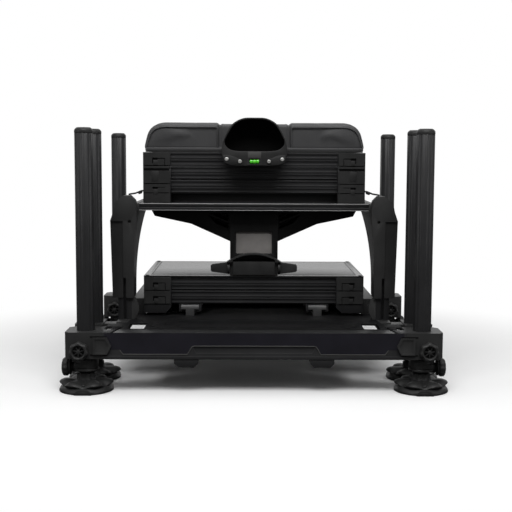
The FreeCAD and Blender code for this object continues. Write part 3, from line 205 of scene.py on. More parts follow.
# Smooth sheet over the lower case, glossy enough to carry the backdrop at a low angle
lidSheet = moulded("black semi-gloss laminate", {
    "dark": "#161617", "light": "#1a1a1b", "grain": 0.6, "cloud": 90,
    "roughness": (0.24, 0.3), "bump": 0.08, "depth": 0.03, "specular": 0.4})
zincSteel = moulded("zinc-plated steel", {
    "dark": "#c9c9c6", "light": "#e2e2df", "grain": 0.5, "cloud": 6,
    "roughness": (0.42, 0.5), "bump": 0.1, "depth": 0.02, "metallic": 1})
# Clear acrylic vial with green spirit
greenSpirit = moulded("green spirit in acrylic", {
    "dark": "#35c41c", "light": "#6fe83f", "grain": 2, "cloud": 6,
    "roughness": (0.08, 0.14), "bump": 0, "depth": 0.01, "specular": 0.6})


# Embossed vinyl: small pebbles parted by fine creases, with a soft sheen
vinylLook = {"dark": "#343435", "light": "#3c3c3d", "pebble": 1.6, "irregular": 0.85, "crease": 0.22,
             "cloud": 70, "roughness": (0.62, 0.46), "bump": 0.5, "depth": 0.16}


def makeVinyl():
    look = vinylLook
    material, tree, shader = newMaterial("grained black vinyl")
    place = addNode(tree, "TexCoord").outputs["Object"]
    pebbles = addNode(tree, "TexVoronoi", {
        "Scale": 1 / (look["pebble"] * mm), "Randomness": look["irregular"]},
        {"Vector": place}, feature="DISTANCE_TO_EDGE")
    crease = addNode(tree, "MapRange", {"From Max": look["crease"]}, {"Value": pebbles.outputs["Distance"]},
                     clamp=True)
    colour = clouded(tree, place, look, 3)
    rough, sleek = look["roughness"]
    gloss = addNode(tree, "MapRange", {"To Min": rough, "To Max": sleek}, {"Value": crease.outputs["Result"]})
    bump = addNode(tree, "Bump", {"Strength": look["bump"], "Distance": look["depth"] * mm},
                   {"Height": crease.outputs["Result"]})
    surface(tree, shader, colour, gloss, bump)
    return material


vinyl = makeVinyl()
print("materials are ready")


# Modelling helpers

def only(piece):
    if bpy.context.object and bpy.context.object.mode != "OBJECT":
        bpy.ops.object.mode_set(mode="OBJECT")
    bpy.ops.object.select_all(action="DESELECT")
    piece.select_set(True)
    bpy.context.view_layer.objects.active = piece
    return piece


def editing(piece):
    only(piece)
    bpy.ops.object.mode_set(mode="EDIT")


def done():
    bpy.ops.object.mode_set(mode="OBJECT")


def settle(piece):
    only(piece)
    bpy.ops.object.transform_apply(location=True, rotation=True, scale=True)
    return piece


def modify(piece, kind, **settings):
    only(piece)
    modifier = piece.modifiers.new(kind.title(), kind)
    for key, value in settings.items():
        setattr(modifier, key, value)
    bpy.ops.object.modifier_apply(modifier=modifier.name)
    return piece


def rounded(piece, width, segments=2, angle=28):
    return modify(piece, "BEVEL", width=width * mm, segments=segments, limit_method="ANGLE",
                  angle_limit=math.radians(angle), harden_normals=False)


def smooth(piece, angle=35):
    only(piece)
    bpy.ops.object.shade_smooth_by_angle(angle=math.radians(angle))
    return piece


def closeUp(piece):
    editing(piece)
    bpy.ops.mesh.select_all(action="SELECT")
    bpy.ops.mesh.remove_doubles(threshold=0.01 * mm)
    bpy.ops.mesh.normals_make_consistent(inside=False)
    done()
    return piece


axisTurn = {"x": Matrix.Rotation(math.radians(90), 4, "Y"), "y": Matrix.Rotation(math.radians(90), 4, "X"),
            "z": Matrix.Identity(4)}
spread = {"x": lambda a, b, c: (c, a, b), "y": lambda a, b, c: (a, c, b), "z": lambda a, b, c: (a, b, c)}


# An outline across the axis, drawn out between two limits along it
def profile(name, outline, axis, limits, edge=0, segments=2):
    bpy.ops.object.select_all(action="DESELECT")
    bpy.ops.mesh.primitive_circle_add(vertices=len(outline), radius=1, fill_type="NGON")
    piece = bpy.context.object
    piece.name = name
    for vertex, (a, b) in zip(piece.data.vertices, outline):
        vertex.co = Vector(spread[axis](a, b, limits[0])) * mm
    editing(piece)
    bpy.ops.mesh.select_all(action="SELECT")
    run = Vector(spread[axis](0, 0, limits[1] - limits[0])) * mm
    bpy.ops.mesh.extrude_region_move(TRANSFORM_OT_translate={"value": run})
    bpy.ops.mesh.select_all(action="SELECT")
    bpy.ops.mesh.normals_make_consistent(inside=False)
    done()
    if edge:
        rounded(piece, edge, segments)
    return piece


def slab(name, x, y, z, edge=0, segments=2):
    return profile(name, [(x[0], y[0]), (x[1], y[0]), (x[1], y[1]), (x[0], y[1])], "z", z, edge, segments)


# A round piece from rings of radius and height along its axis
def turned(name, rings, axis, steps=48, centre=(0, 0, 0)):
    bpy.ops.object.select_all(action="DESELECT")
    bpy.ops.mesh.primitive_circle_add(vertices=steps, radius=rings[0][0] * mm, fill_type="NGON",
                                      location=(0, 0, rings[0][1] * mm))
    piece = bpy.context.object
    piece.name = name
    settle(piece)
    editing(piece)
    bpy.ops.mesh.select_all(action="SELECT")
    for (radius, height), (nextRadius, nextHeight) in zip(rings, rings[1:]):
        bpy.ops.mesh.extrude_region_move(TRANSFORM_OT_translate={"value": (0, 0, (nextHeight - height) * mm)})
        ratio = nextRadius / radius
        bpy.ops.transform.resize(value=(ratio, ratio, 1))
    bpy.ops.mesh.select_all(action="SELECT")
    bpy.ops.mesh.normals_make_consistent(inside=False)
    done()
    piece.data.transform(Matrix.Translation(Vector(centre) * mm) @ axisTurn[axis])
    return piece


def hollow(piece, *tools):
    for tool in tools:
        modify(piece, "BOOLEAN", operation="DIFFERENCE", solver="EXACT", object=tool)
        bpy.data.objects.remove(tool)
    return piece


def joined(name, pieces):
    only(pieces[0])
    for piece in pieces:
        piece.select_set(True)
    bpy.ops.object.join()
    bpy.context.object.name = name
    return bpy.context.object


def copied(piece, name, shift, mirror):
    twin = piece.copy()
    twin.data = piece.data.copy()
    twin.name = name
    bpy.context.scene.collection.objects.link(twin)
    if mirror:
        twin.data.transform(Matrix.Scale(-1, 4, (1, 0, 0)))
        twin.data.flip_normals()
    twin.data.transform(Matrix.Translation(Vector(shift) * mm))
    return twin


# A finished piece stands for a part of its CAD node and rides on that node's body
def dress(piece, material, node):
    piece.data.materials.clear()
    piece.data.materials.append(material)
    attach(piece, bodyOf[node])
    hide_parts(node)
    return piece


# The same for a drawn piece that is still open or unshaded; without an angle it stays flat
def standing(piece, material, node, angle=35):
    closeUp(piece)
    if angle:
        smooth(piece, angle)
    return dress(piece, material, node)


# A copy of a CAD node with its edges rounded
def refined(node, material, edge=0.6, segments=2, angle=35):
    piece = nodes[node].copy()
    piece.data = nodes[node].data.copy()
    piece.parent = None
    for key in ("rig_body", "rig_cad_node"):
        if key in piece:
            del piece[key]
    piece.name = node + "_body"
    piece.hide_render = piece.hide_viewport = False
    bpy.context.scene.collection.objects.link(piece)
    editing(piece)
    bpy.ops.mesh.select_all(action="SELECT")
    bpy.ops.mesh.remove_doubles(threshold=0.005 * mm)
    bpy.ops.mesh.customdata_custom_splitnormals_clear()
    bpy.ops.mesh.dissolve_limited(angle_limit=math.radians(1.5))
    done()
    if edge:
        rounded(piece, edge, segments, angle)
    smooth(piece, angle)
    return dress(piece, material, node)


# Outline helpers

def held(value):
    return min(1, max(0, value))


def onSide(points, side):
    return [(side * x, z) for x, z in points]


# One half of an outline and its mirror image
def symmetric(half):
    return half + onSide(half[::-1], -1)


# Rounds the corners of a straight-sided outline; reach is how far a round starts from its corner
def softened(points, reach, steps=4):
    outline = []
    for i, corner in enumerate(points):
        here = Vector(corner)
        wanted = reach[i] if isinstance(reach, list) else reach
        ends = []
        for other in (points[i - 1], points[(i + 1) % len(points)]):
            side = Vector(other) - here
            ends.append(here + side.normalized() * min(wanted, side.length * 0.48))
        for step in range(steps + 1):
            t = step / steps
            outline.append(tuple(ends[0] * (1 - t) ** 2 + here * 2 * t * (1 - t) + ends[1] * t ** 2))
    return outline


# Both sides of a line of even width, as one outline
def ribbon(points, width):
    left, right = [], []
    for i, point in enumerate(points):
        run = (Vector(points[min(i + 1, len(points) - 1)]) - Vector(points[max(i - 1, 0)])).normalized()
        across = Vector((-run.y, run.x)) * width / 2
        left.append(tuple(Vector(point) + across))
        right.append(tuple(Vector(point) - across))
    return left + right[::-1]


# Waves a round piece outwards and inwards along its turn; depth is a function of radius and height
def waved(piece, axis, lobes, depth, phase=0, centre=(0, 0, 0)):
    first, second, third = {"x": (1, 2, 0), "y": (0, 2, 1), "z": (0, 1, 2)}[axis]
    for vertex in piece.data.vertices:
        u = vertex.co[first] / mm - centre[first]
        v = vertex.co[second] / mm - centre[second]
        radius = math.hypot(u, v)
        if radius > 0.5:
            wave = math.cos(lobes * math.atan2(v, u) + phase)
            grow = 1 + depth(radius, vertex.co[third] / mm) * wave / radius
            vertex.co[first] = (centre[first] + u * grow) * mm
            vertex.co[second] = (centre[second] + v * grow) * mm
    return piece


# A round cord along a closed line of points
def cordOf(name, points, radius):
    bpy.ops.object.select_all(action="DESELECT")
    bpy.ops.mesh.primitive_circle_add(vertices=len(points), radius=1)
    piece = bpy.context.object
    piece.name = name
    for vertex, point in zip(piece.data.vertices, points):
        vertex.co = Vector(point) * mm
    bpy.ops.object.convert(target="CURVE")
    bpy.context.object.data.bevel_depth = radius * mm
    bpy.context.object.data.bevel_resolution = 2
    bpy.ops.object.convert(target="MESH")
    return bpy.context.object


# Floor, backdrop and light

studio = {"floor": "#f6f6f6", "bounce": "#5a5a5a", "ambient": 0.16, "frontSheen": 0.16, "groundSheen": 0.06,
          "clear": (0.5, 1.05)}


def makeStudio():
    bpy.ops.object.select_all(action="DESELECT")
    bpy.ops.mesh.primitive_plane_add(size=14)
    floor = bpy.context.object
    floor.name = "floor"
    material, tree, shader = newMaterial("pale studio floor")
    path = addNode(tree, "LightPath")
    tint = addNode(tree, "Mix", links={"Factor": path.outputs["Is Camera Ray"]}, data_type="RGBA")
    tint.inputs["A"].default_value = linear(studio["bounce"])
    tint.inputs["B"].default_value = linear(studio["floor"])
    tree.links.new(tint.outputs["Result"], shader.inputs["Base Color"])
    shader.inputs["Roughness"].default_value = 0.8
    shader.inputs["Specular IOR Level"].default_value = 0.1
    # White to the camera away from the object, so only the shadow near it shows
    place = addNode(tree, "TexCoord").outputs["Object"]
    reach = addNode(tree, "VectorMath", links={0: place}, operation="LENGTH").outputs["Value"]
    near, far = studio["clear"]
    fade = addNode(tree, "MapRange", {"From Min": near, "From Max": far}, {"Value": reach},
                   interpolation_type="SMOOTHSTEP").outputs["Result"]
    seen = addNode(tree, "Math", links={0: fade, 1: path.outputs["Is Camera Ray"]}, operation="MULTIPLY")
    white = addNode(tree, "Emission", {"Color": (1, 1, 1, 1), "Strength": 1.0})
    blend = addNode(tree, "MixShader", links={
        0: seen.outputs[0], 1: shader.outputs["BSDF"], 2: white.outputs["Emission"]})
    output = next(node for node in tree.nodes if node.type == "OUTPUT_MATERIAL")
    tree.links.new(blend.outputs["Shader"], output.inputs["Surface"])
    floor.data.materials.append(material)
    makeWorld()


# White backdrop for the camera; reflections see it bright behind the object, dim in front and below
def makeWorld():
    world = bpy.data.worlds.new("studio")
    bpy.context.scene.world = world
    world.use_nodes = True
    tree = world.node_tree
    tree.nodes.clear()
    path = addNode(tree, "LightPath").outputs
    direction = addNode(tree, "SeparateXYZ", links={"Vector": addNode(tree, "TexCoord").outputs["Generated"]})
    behind = addNode(tree, "MapRange", {
        "From Min": 0.2, "From Max": 0.8, "To Min": studio["frontSheen"], "To Max": 1.0},
        {"Value": direction.outputs["Y"]}, clamp=True)
    above = addNode(tree, "MapRange", {"From Min": -0.02, "From Max": 0.02},
                    {"Value": direction.outputs["Z"]}, clamp=True)
    sheen = addNode(tree, "Mix", {"A": studio["groundSheen"]},
                    {"Factor": above.outputs["Result"], "B": behind.outputs["Result"]}, data_type="FLOAT")
    glossy = addNode(tree, "Mix", {"A": studio["ambient"]},
                     {"Factor": path["Is Glossy Ray"], "B": sheen.outputs["Result"]}, data_type="FLOAT")
    seen = addNode(tree, "Math", links={0: path["Is Camera Ray"], 1: path["Is Transmission Ray"]},
                   operation="MAXIMUM")
    strength = addNode(tree, "Mix", {"B": 1.0}, {"Factor": seen.outputs[0], "A": glossy.outputs["Result"]},
                       data_type="FLOAT")
    background = addNode(tree, "Background", {"Color": (1, 1, 1, 1)},
                         {"Strength": strength.outputs["Result"]})
    addNode(tree, "OutputWorld", links={"Surface": background.outputs["Background"]})


# Lamps in metres and watts
lamps = {
    "front soft box": {"place": (0, -1.9, 2.6), "aim": (0, 0, 0.25), "size": (2.2, 1.2), "power": 72},
    "overhead soft box": {"place": (0, 0.1, 2.4), "aim": (0, 0, 0.3), "size": (2.4, 1.8), "power": 18},
    "left strip": {"place": (-2.1, -1.2, 1.2), "aim": (0, 0, 0.3), "size": (0.5, 1.8), "power": 9},
    "right strip": {"place": (2.1, -1.2, 1.2), "aim": (0, 0, 0.3), "size": (0.5, 1.8), "power": 9},
}


def makeLamps():
    for name, lamp in lamps.items():
        bpy.ops.object.light_add(type="AREA", location=lamp["place"])
        light = bpy.context.object
        light.name = name
        light.data.shape = "RECTANGLE"
        light.data.size, light.data.size_y = lamp["size"]
        light.data.energy = lamp["power"]
        towards = Vector(lamp["aim"]) - Vector(lamp["place"])
        light.rotation_euler = towards.to_track_quat("-Z", "Y").to_euler()


makeStudio()
makeLamps()
bpy.context.scene.view_settings.view_transform = "Standard"
print("studio is ready")


# Cushion: a crowned pad with a set-back middle between two sewn channels, swelled by a cloth simulation

cushion = {
    "half": 236, "topHalf": 222, "low": 470.2, "top": 527.6, "front": -83, "rear": 201,
    "foot": 5, "corner": 32, "edge": 9, "voxel": 5, "quality": 3, "pressure": 4, "frames": 20, "cap": 2.6,
    "seam": 73, "seamDepth": 4.5, "seamWidth": 3.4, "middleDip": 2.6, "dipRun": 8,
    "footClear": 2, "footRun": 6,
    "base": {"half": 229.6, "proud": 2, "z": (0.4, 7), "edge": 1.2},
    "welt": {"radius": 1.3, "inset": 7.5, "rise": 3.4, "proud": 0.6, "corner": 28, "beside": 5}}


def swelled(piece):
    c = cushion
    start = [vertex.co.copy() for vertex in piece.data.vertices]
    cloth = piece.modifiers.new("swell", "CLOTH")
    cloth.settings.quality = c["quality"]
    cloth.settings.use_pressure = True
    cloth.settings.uniform_pressure_force = c["pressure"]
    cloth.settings.effector_weights.gravity = 0
    cloth.point_cache.frame_start, cloth.point_cache.frame_end = 1, c["frames"]
    for step in range(1, c["frames"] + 1):
        bpy.context.scene.frame_set(step)
    only(piece)
    bpy.ops.object.modifier_apply(modifier=cloth.name)
    for vertex, before in zip(piece.data.vertices, start):
        move = vertex.co - before
        if move.length > c["cap"] * mm:
            vertex.co = before + move.normalized() * c["cap"] * mm
        vertex.co.z = max(vertex.co.z, c["low"] * mm)
    bpy.context.scene.frame_set(1)


def makeCushion():
    c = cushion
    low, top = c["low"], c["top"]
    outline = softened([(-c["half"], low), (c["half"], low), (c["topHalf"], top), (-c["topHalf"], top)],
                       [c["foot"], c["foot"], c["corner"], c["corner"]], 8)
    pad = profile("seat_cushion_pad", outline, "y", (c["front"], c["rear"]), c["edge"], 4)
    modify(pad, "REMESH", mode="VOXEL", voxel_size=c["voxel"] * mm)
    swelled(pad)
    modify(pad, "SUBSURF", levels=1, render_levels=1)
    # Normals are read before any vertex moves: reading one afterwards works them all out anew
    normals = [vertex.normal.copy() for vertex in pad.data.vertices]
    for vertex, normal in zip(pad.data.vertices, normals):
        across = abs(vertex.co.x) / mm
        height = held((vertex.co.z / mm - low - c["footClear"]) / c["footRun"])
        seam = c["seamDepth"] * math.exp(-((across - c["seam"]) / c["seamWidth"]) ** 2)
        dip = c["middleDip"] * held((c["seam"] - across) / c["dipRun"])
        vertex.co -= normal * (seam + dip) * height * mm
    smooth(pad, 60)
    dress(pad, vinyl, "seat_cushion")
    b = c["base"]
    base = slab("cushion_base", (-b["half"], b["half"]), (c["front"] - b["proud"], c["rear"] + b["proud"]),
                (low + b["z"][0], low + b["z"][1]), b["edge"])
    standing(base, vinyl, "seat_cushion", 60)
    makePiping()


# A welt sewn round the front and rear panels, in one run on each side of the middle
def makePiping():
    c, w = cushion, cushion["welt"]
    low, top = c["low"] + w["rise"], c["top"] - w["inset"]
    half, topHalf, seam = c["half"] - w["inset"], c["topHalf"] - w["inset"], c["seam"] + w["beside"]
    for name, y in (("front", c["front"] - w["proud"]), ("rear", c["rear"] + w["proud"])):
        for side in (-1, 1):
            corners = onSide([(seam, low), (half, low), (topHalf, top), (seam, top)], side)
            run = softened(corners, [4, 5, w["corner"], 4], 8)
            welt = cordOf(f"cushion_piping_{name}_{side}", [(x, y, z) for x, z in run], w["radius"])
            standing(welt, vinyl, "seat_cushion", 60)


makeCushion()
print("cushion is ready")


# Legs: fluted tube, moulded cap and collar, made once and copied to the six places

leg = {"radius": 17.55, "flute": 0.42, "flutes": 12, "foot": 62, "top": 503.5, "bore": 15.5, "boreTop": 495,
       "collarBore": 14.3, "knobHeight": 46.5, "knobOffset": 7.5}


def makeTube():
    low, top, radius, bore = leg["foot"], leg["top"], leg["radius"], leg["bore"]
    tube = turned("tube", [(17.2, low), (radius, low + 1), (radius, top - 1.4), (16.6, top)], "z", 144)
    waved(tube, "z", leg["flutes"], lambda radius, height: leg["flute"])
    hollow(tube, turned("bore", [(bore, low - 3), (bore, leg["boreTop"])], "z"))
    return smooth(tube, 40)


def makeCap():
    rings = [(16, 500), (17.9, 503.2), (18, 504), (18, 507.4), (17.5, 509.2), (16.2, 511), (14.2, 512.8),
             (12.4, 513.7), (3, 514)]
    return smooth(turned("cap", rings, "z", 64), 40)


# Drawn for a right-hand leg, its knob boss to the outside
def makeCollar():
    rings = [(16, 40), (23.8, 40.2), (24.8, 41), (25, 42), (24.9, 43.6), (24.1, 44.8), (23.5, 45.4),
             (23.7, 46.4), (24.3, 47), (24.3, 63.2), (23.4, 64.7), (19, 65)]
    ring = turned("collar", rings, "z", 72)
    hollow(ring, turned("bore", [(leg["collarBore"], 36), (leg["collarBore"], 70)], "z"))
    boss = turned("boss", [(10.4, 18), (10.4, 25.2), (9.6, 26.2)], "x", 40, (0, 0, leg["knobHeight"]))
    plate = slab("plate", (-3, 20), (-24.9, -14), (47, 57), 1.6, 3)
    tab = slab("tab", (-12, 8), (-24.7, -14), (60.5, 64), 1, 2)
    return smooth(joined("collar", [ring, boss, plate, tab]), 35)


starKnob = {"height": 85, "radius": 18, "lobes": 7, "lobe": 1.1, "face": 53.5, "back": 36.8, "recess": 11.3,
            "depth": 9, "ribs": 7}


# Drawn round X 0 and Y 0, its face towards the front; its stud stays the CAD node's
def makeStarKnob():
    k = starKnob
    centre = (0, 0, k["height"])
    face, back, radius, recess = k["face"], k["back"], k["radius"], k["recess"]
    floor = face - k["depth"]
    rings = [(3.9, 18.6), (3.9, back - 1.8), (9.5, back - 1.7), (12.5, back), (17, back + 0.6),
             (17.8, back + 2.4), (radius, back + 4), (radius, face - 5), (17.2, face - 2.2),
             (15.6, face - 0.5), (13.6, face), (12.2, face - 0.7), (recess, face - 2), (recess - 0.5, floor),
             (2, floor)]
    knob = turned("star", rings, "y", 84, centre)
    waved(knob, "y", k["lobes"], lambda radius, depth: k["lobe"] if radius > 15.3 else 0, math.pi / 2, centre)
    hub = turned("hub", [(4.2, floor - 0.5), (4.2, face - 3.4), (3.2, face - 2.8)], "y", 24, centre)
    ribs = []
    for i in range(k["ribs"]):
        rib = slab("rib", (3, recess - 0.2), (3.2 - face, 0.5 - floor), (-0.9, 0.9), 0.3, 1)
        turn = Matrix.Rotation(math.radians(90 + 360 / k["ribs"] * i), 4, "Y")
        rib.data.transform(Matrix.Translation(Vector(centre) * mm) @ turn)
        ribs.append(rib)
    return smooth(joined("star", [knob, hub] + ribs), 40)


# Drawn for a right-hand collar
def makeCollarKnob():
    centre = (0, 0, leg["knobHeight"])
    rings = [(3.9, 14.6), (3.9, 26.6), (9.8, 26.8), (9.8, 29.2), (15.2, 29.6), (16.3, 30.4), (16.3, 31.9),
             (15, 32.6), (14.8, 33.8), (16.9, 35), (17.7, 36.4), (17.7, 41.4), (17, 44), (15, 46), (11, 47.2),
             (3, 47.6)]
    knob = turned("grip", rings, "x", 80, centre)
    waved(knob, "x", 10, lambda radius, reach: 0.55 if reach > 34.5 and radius > 14 else 0, centre=centre)
    return smooth(knob, 32)


foot = {"lobes": 6, "baseWave": 1.1, "wave": 3.6, "valley": 5.5, "hubLobes": 8, "hubWave": 1.3}


# Two tiers of broad petals round a ribbed hub; the front shows an arch over two sockets
def makeFoot():
    f = foot
    lobes = f["lobes"]
    rings = [(50, 0), (52.6, 0.8), (53.3, 3), (52.6, 6.2), (50.2, 9.6), (44, 12.2), (34, 13.6), (20, 15)]
    base = turned("base", rings, "z", 108)
    waved(base, "z", lobes, lambda radius, height: f["baseWave"] if radius > 40 and height > 5 else 0,
          math.pi)
    rings = [(38, 12.2), (45.6, 13.4), (49, 15.4), (49.6, 17.4), (47.2, 20.4), (41, 22.8), (32, 23.6),
             (24, 23), (18, 24)]
    tier = turned("petals", rings, "z", 120)
    waved(tier, "z", lobes, lambda radius, height: f["wave"] * held((radius - 20) / 24))
    # Valleys between the petals sink towards the lower tier
    for vertex in tier.data.vertices:
        radius = math.hypot(vertex.co.x, vertex.co.y) / mm
        valley = 0.5 - 0.5 * math.cos(lobes * math.atan2(vertex.co.y, vertex.co.x))
        vertex.co.z -= f["valley"] * valley ** 2 * held((radius - 18) / 14) * mm
    rings = [(23, 14), (21.5, 19), (18.6, 24), (17.4, 29), (17.8, 33), (16.8, 35.4), (10, 37.4), (2, 37.8)]
    hub = turned("hub", rings, "z", 96)
    waved(hub, "z", f["hubLobes"], lambda radius, height: f["hubWave"] if radius > 12 and height < 34 else 0,
          math.pi)
    outline = softened([(-17, 0.4), (17, 0.4), (13, 10.5), (-13, 10.5)], [1, 1, 9, 9])
    arch = profile("arch", outline, "y", (-53, -40), 1.6, 3)
    for side in (-1, 1):
        outline = softened(onSide([(1.6, 1.2), (11.5, 1.2), (8, 7.2), (1.6, 7.2)], side), [1, 2, 3, 1])
        hollow(arch, profile("socket", outline, "y", (-56, -45)))
    brace = slab("brace", (-3.2, 3.2), (-44, -16), (12, 19), 1.6, 3)
    return smooth(joined("foot", [base, tier, hub, arch, brace]), 42)


def placeLegs():
    kinds = [("tube", makeTube(), anodisedTube, "leg"),
             ("cap", makeCap(), mouldedNylon, "leg"),
             ("collar", makeCollar(), mouldedNylon, "leg"),
             ("star", makeStarKnob(), mouldedNylon, "star_knob"),
             ("grip", makeCollarKnob(), mouldedNylon, "collar_knob"),
             ("petals", makeFoot(), mouldedNylon, "foot")]
    for spot, x, y, side in spots:
        for kind, part, material, node in kinds:
            offset = side * leg["knobOffset"] if kind == "star" else 0
            dress(copied(part, f"{kind}_{spot}", (x + offset, y, 0), side < 0), material, f"{node}_{spot}")
        refined(f"stem_{spot}", anodisedTube, 0.5)
    for kind, part, material, node in kinds:
        bpy.data.objects.remove(part)


placeLegs()
print("legs are ready")


# Castings: clamp blocks with a six-sided nose, its face sunk inside a border

nose = {"tip": 276, "root": 311, "middle": 94, "half": 16.5, "border": 3.4, "face": -303, "depth": 1.3,
        "gap": 2.2, "gapReach": (9, 6)}


def makeCastings():
    piece = refined("footplate_castings", powderCoat, 0)
    n = nose
    middle = n["middle"]
    low, high = middle - n["half"] + n["border"], middle + n["half"] - n["border"]
    tip, root, bend = n["tip"] + 5, n["root"] - 4, n["tip"] + n["half"] / 2 + 3
    corners = [(tip, middle), (bend, low), (root, low), (root, high), (bend, high)]
    for side in (-1, 1):
        outline = softened(onSide(corners, side), 1.5)
        hollow(piece, profile("sunk", outline, "y", (n["face"] - 2, n["face"] + n["depth"])))
    rounded(piece, 0.9, 2, 35)
    smooth(piece, 35)


makeCastings()
for name in ("side_frame_left", "side_frame_right"):
    refined(name, powderCoat, 1.1, 3)


# Front bar: a dark panel on its face above a raised border line, and strips of painted shadow beside the
# noses

border = {"face": -298, "proud": 1.1, "width": 1.9, "top": 119.2, "end": 290, "endLow": 87, "lift": 1,
          "line": [(-259.6, 86), (-253.3, 77.7), (-129.4, 77.7), (-120.3, 92.6), (-116, 94.2), (0, 94.2)]}


def makeBar():
    refined("front_bar", anodisedProfile, 0.6)
    b, n = border, nose
    face = b["face"]
    for side in (1, -1):
        outline = onSide(ribbon(b["line"], b["width"]), side)
        strip = profile(f"bar_border_{side}", outline, "y", (face - b["proud"], face + 0.5), 0.3, 1)
        standing(strip, greyInsert, "front_bar")
        above = [(side * -x, z + b["lift"]) for x, z in b["line"]]
        outline = [(side * b["end"], b["top"]), (side * b["end"], b["endLow"])] + above + [(0, b["top"])]
        panel = profile(f"bar_panel_{side}", outline, "y", (face - 0.25, face + 0.3))
        standing(panel, barPanel, "front_bar", 0)
        # Dark strips above and below each nose: painted shadow
        x = (side * (n["tip"] + n["gapReach"][0]), side * (n["root"] + n["gapReach"][1]))
        for sign in (-1, 1):
            z = n["middle"] + sign * (n["half"] + 1.2)
            gap = slab(f"nose_painted_shadow_{side}_{sign}", x, (face - 0.7, face + 0.3),
                       (z - n["gap"] / 2, z + n["gap"] / 2))
            standing(gap, paintedShade, "footplate_castings", 0)


makeBar()


# Board: a low lip along its rear edge, and ears that reach back beside its rear part

board = {"lip": 196, "lipDepth": 4, "lipHeight": (118.6, 124.6), "earHeight": (115.6, 119.6),
         "ear": [(214, -184), (262, -186), (252, -108), (250, -52), (214, -50)]}


def makeBoard():
    # The board, its lip and its ears are darker than the other anodised parts: painted shade
    refined("footplate_board", roughBoardAndShade, 0.4)
    rear = max(vertex.co.y for vertex in nodes["footplate_board"].data.vertices) / mm
    lip = slab("board_rear_lip", (-board["lip"], board["lip"]), (rear - board["lipDepth"], rear),
               board["lipHeight"], 0.5)
    standing(lip, roughBoardAndShade, "footplate_board")
    for side in (-1, 1):
        ear = profile(f"board_ear_{side}", onSide(board["ear"], side), "z", board["earHeight"], 0.4, 1)
        standing(ear, roughBoardAndShade, "footplate_board")


makeBoard()
refined("footplate_slides", bareAlloy, 0.5)
refined("slide_channels", anodisedProfile, 0.5)
refined("uprights", anodisedTube, 0.4)
print("footplate and frames are ready")


# Cases: a moulded plate on every front corner block, with its catch and grooves

catch = {"face": -90, "proud": 2.2, "inner": 177.2, "outer": 233.4, "slot": (203.5, 214.7),
         "tab": (203.5, 212.4), "line": 187.7, "groove": 1.3,
         "tiers": [("seat_tray", 0, (440, 466.6)), ("lower_case", 0, (175.2, 202.4)),
                   ("lower_case", 1, (146, 173.2))]}
# The upper case's middle tier has a wide gap of painted shade over a broad tab; its lowest has a line below
# the slot
upperCatch = {
    "middle": (402, 428.4), "strip": (433.2, 438), "broadTab": ((201, 216), (406, 427.6)),
    "gap": ((179, 233), (428, 433.4)), "lowest": (361.4, 400.4), "tab": (378.6, 389.8),
    "cuts": [((203.5, 214.7), (389.6, 394.4)), ((187.7, 203.6), (392.6, 394)), ((176, 235), (380.6, 382.4))]}


def spanned(span, side):
    return side * span[0], side * span[1]


# Cuts of one plate, measured down from the top of its tier
def catchCuts(top, side):
    c = catch
    inner, outer = c["slot"]
    cuts = [((inner, outer), (-16.8, -11.6)), ((c["line"], inner + 0.2), (-14, -12.2)),
            ((c["line"], c["line"] + c["groove"]), (-28, -12.4)), ((outer - 2.6, outer), (-23, -16)),
            ((inner, inner + 1.4), (-23, -16))]
    y = (c["face"] - c["proud"] - 1, c["face"] + 1)
    return [slab("cut", spanned(x, side), y, (top + z[0], top + z[1])) for x, z in cuts]


def catchPlate(node, tier, side, height, cuts):
    c = catch
    low, top = height
    plate = slab(f"plate_{node}_{tier}_{side}", spanned((c["inner"], c["outer"]), side),
                 (c["face"] - c["proud"], c["face"] + 0.4), height)
    hollow(closeUp(plate), *[closeUp(cut) for cut in cuts])
    rounded(plate, 0.3, 1, 40)
    dress(smooth(plate), mouldedNylon, node)
    # A dark backing behind the plate: painted shade in its slots and grooves
    shade = slab(f"shade_{node}_{tier}_{side}", spanned((c["inner"] + 4, c["outer"] - 3), side),
                 (c["face"] - 0.15, c["face"] + 0.2), (low - 1.8, top - 0.8))
    standing(shade, paintedShade, node, 0)


def makeUpperCatch(side, tabY):
    c, u = catch, upperCatch
    catchPlate("upper_case", 1, side, u["middle"], [])
    strip = slab(f"strip_{side}", spanned((c["inner"], c["outer"]), side),
                 (c["face"] - c["proud"], c["face"] + 0.4), u["strip"], 0.3, 1)
    standing(strip, mouldedNylon, "upper_case")
    x, z = u["broadTab"]
    standing(slab(f"broad_tab_{side}", spanned(x, side), tabY, z, 0.5), mouldedNylon, "upper_case")
    # A thin dark sheet at the face: painted shade in the gap
    x, z = u["gap"]
    gap = slab(f"gap_{side}", spanned(x, side), (c["face"] - 0.2, c["face"] + 0.2), z)
    standing(gap, paintedShade, "upper_case", 0)
    cuts = [slab("cut", spanned(x, side), (c["face"] - 3, c["face"] + 1), z) for x, z in u["cuts"]]
    catchPlate("upper_case", 2, side, u["lowest"], cuts)
    tab = slab(f"low_tab_{side}", spanned(c["tab"], side), tabY, u["tab"], 0.4)
    standing(tab, mouldedNylon, "upper_case")


def makeCatches():
    tabY = (catch["face"] - catch["proud"] - 0.6, catch["face"] + 0.3)
    for side in (-1, 1):
        for node, tier, (low, top) in catch["tiers"]:
            catchPlate(node, tier, side, (low, top), catchCuts(top + 0.6, side))
            tab = slab(f"tab_{node}_{tier}_{side}", spanned(catch["tab"], side), tabY,
                       (low + 0.2, top - 16), 0.4)
            standing(tab, mouldedNylon, node)
        makeUpperCatch(side, tabY)


makeCatches()
for name in ("lower_case", "upper_case", "seat_tray",
             "lower_drawer_bottom", "lower_drawer_top", "upper_drawer_bottom", "upper_drawer_top"):
    refined(name, anodisedProfile, 0.35)
refined("lower_lid", lidSheet, 0.6)
refined("seat_board", mouldedNylon, 0.5)
refined("seat_hinge_pins", zincSteel, 0)
print("cases are ready")


# Pole cup: a rounded shell with flange ears, four bolts and a spirit level

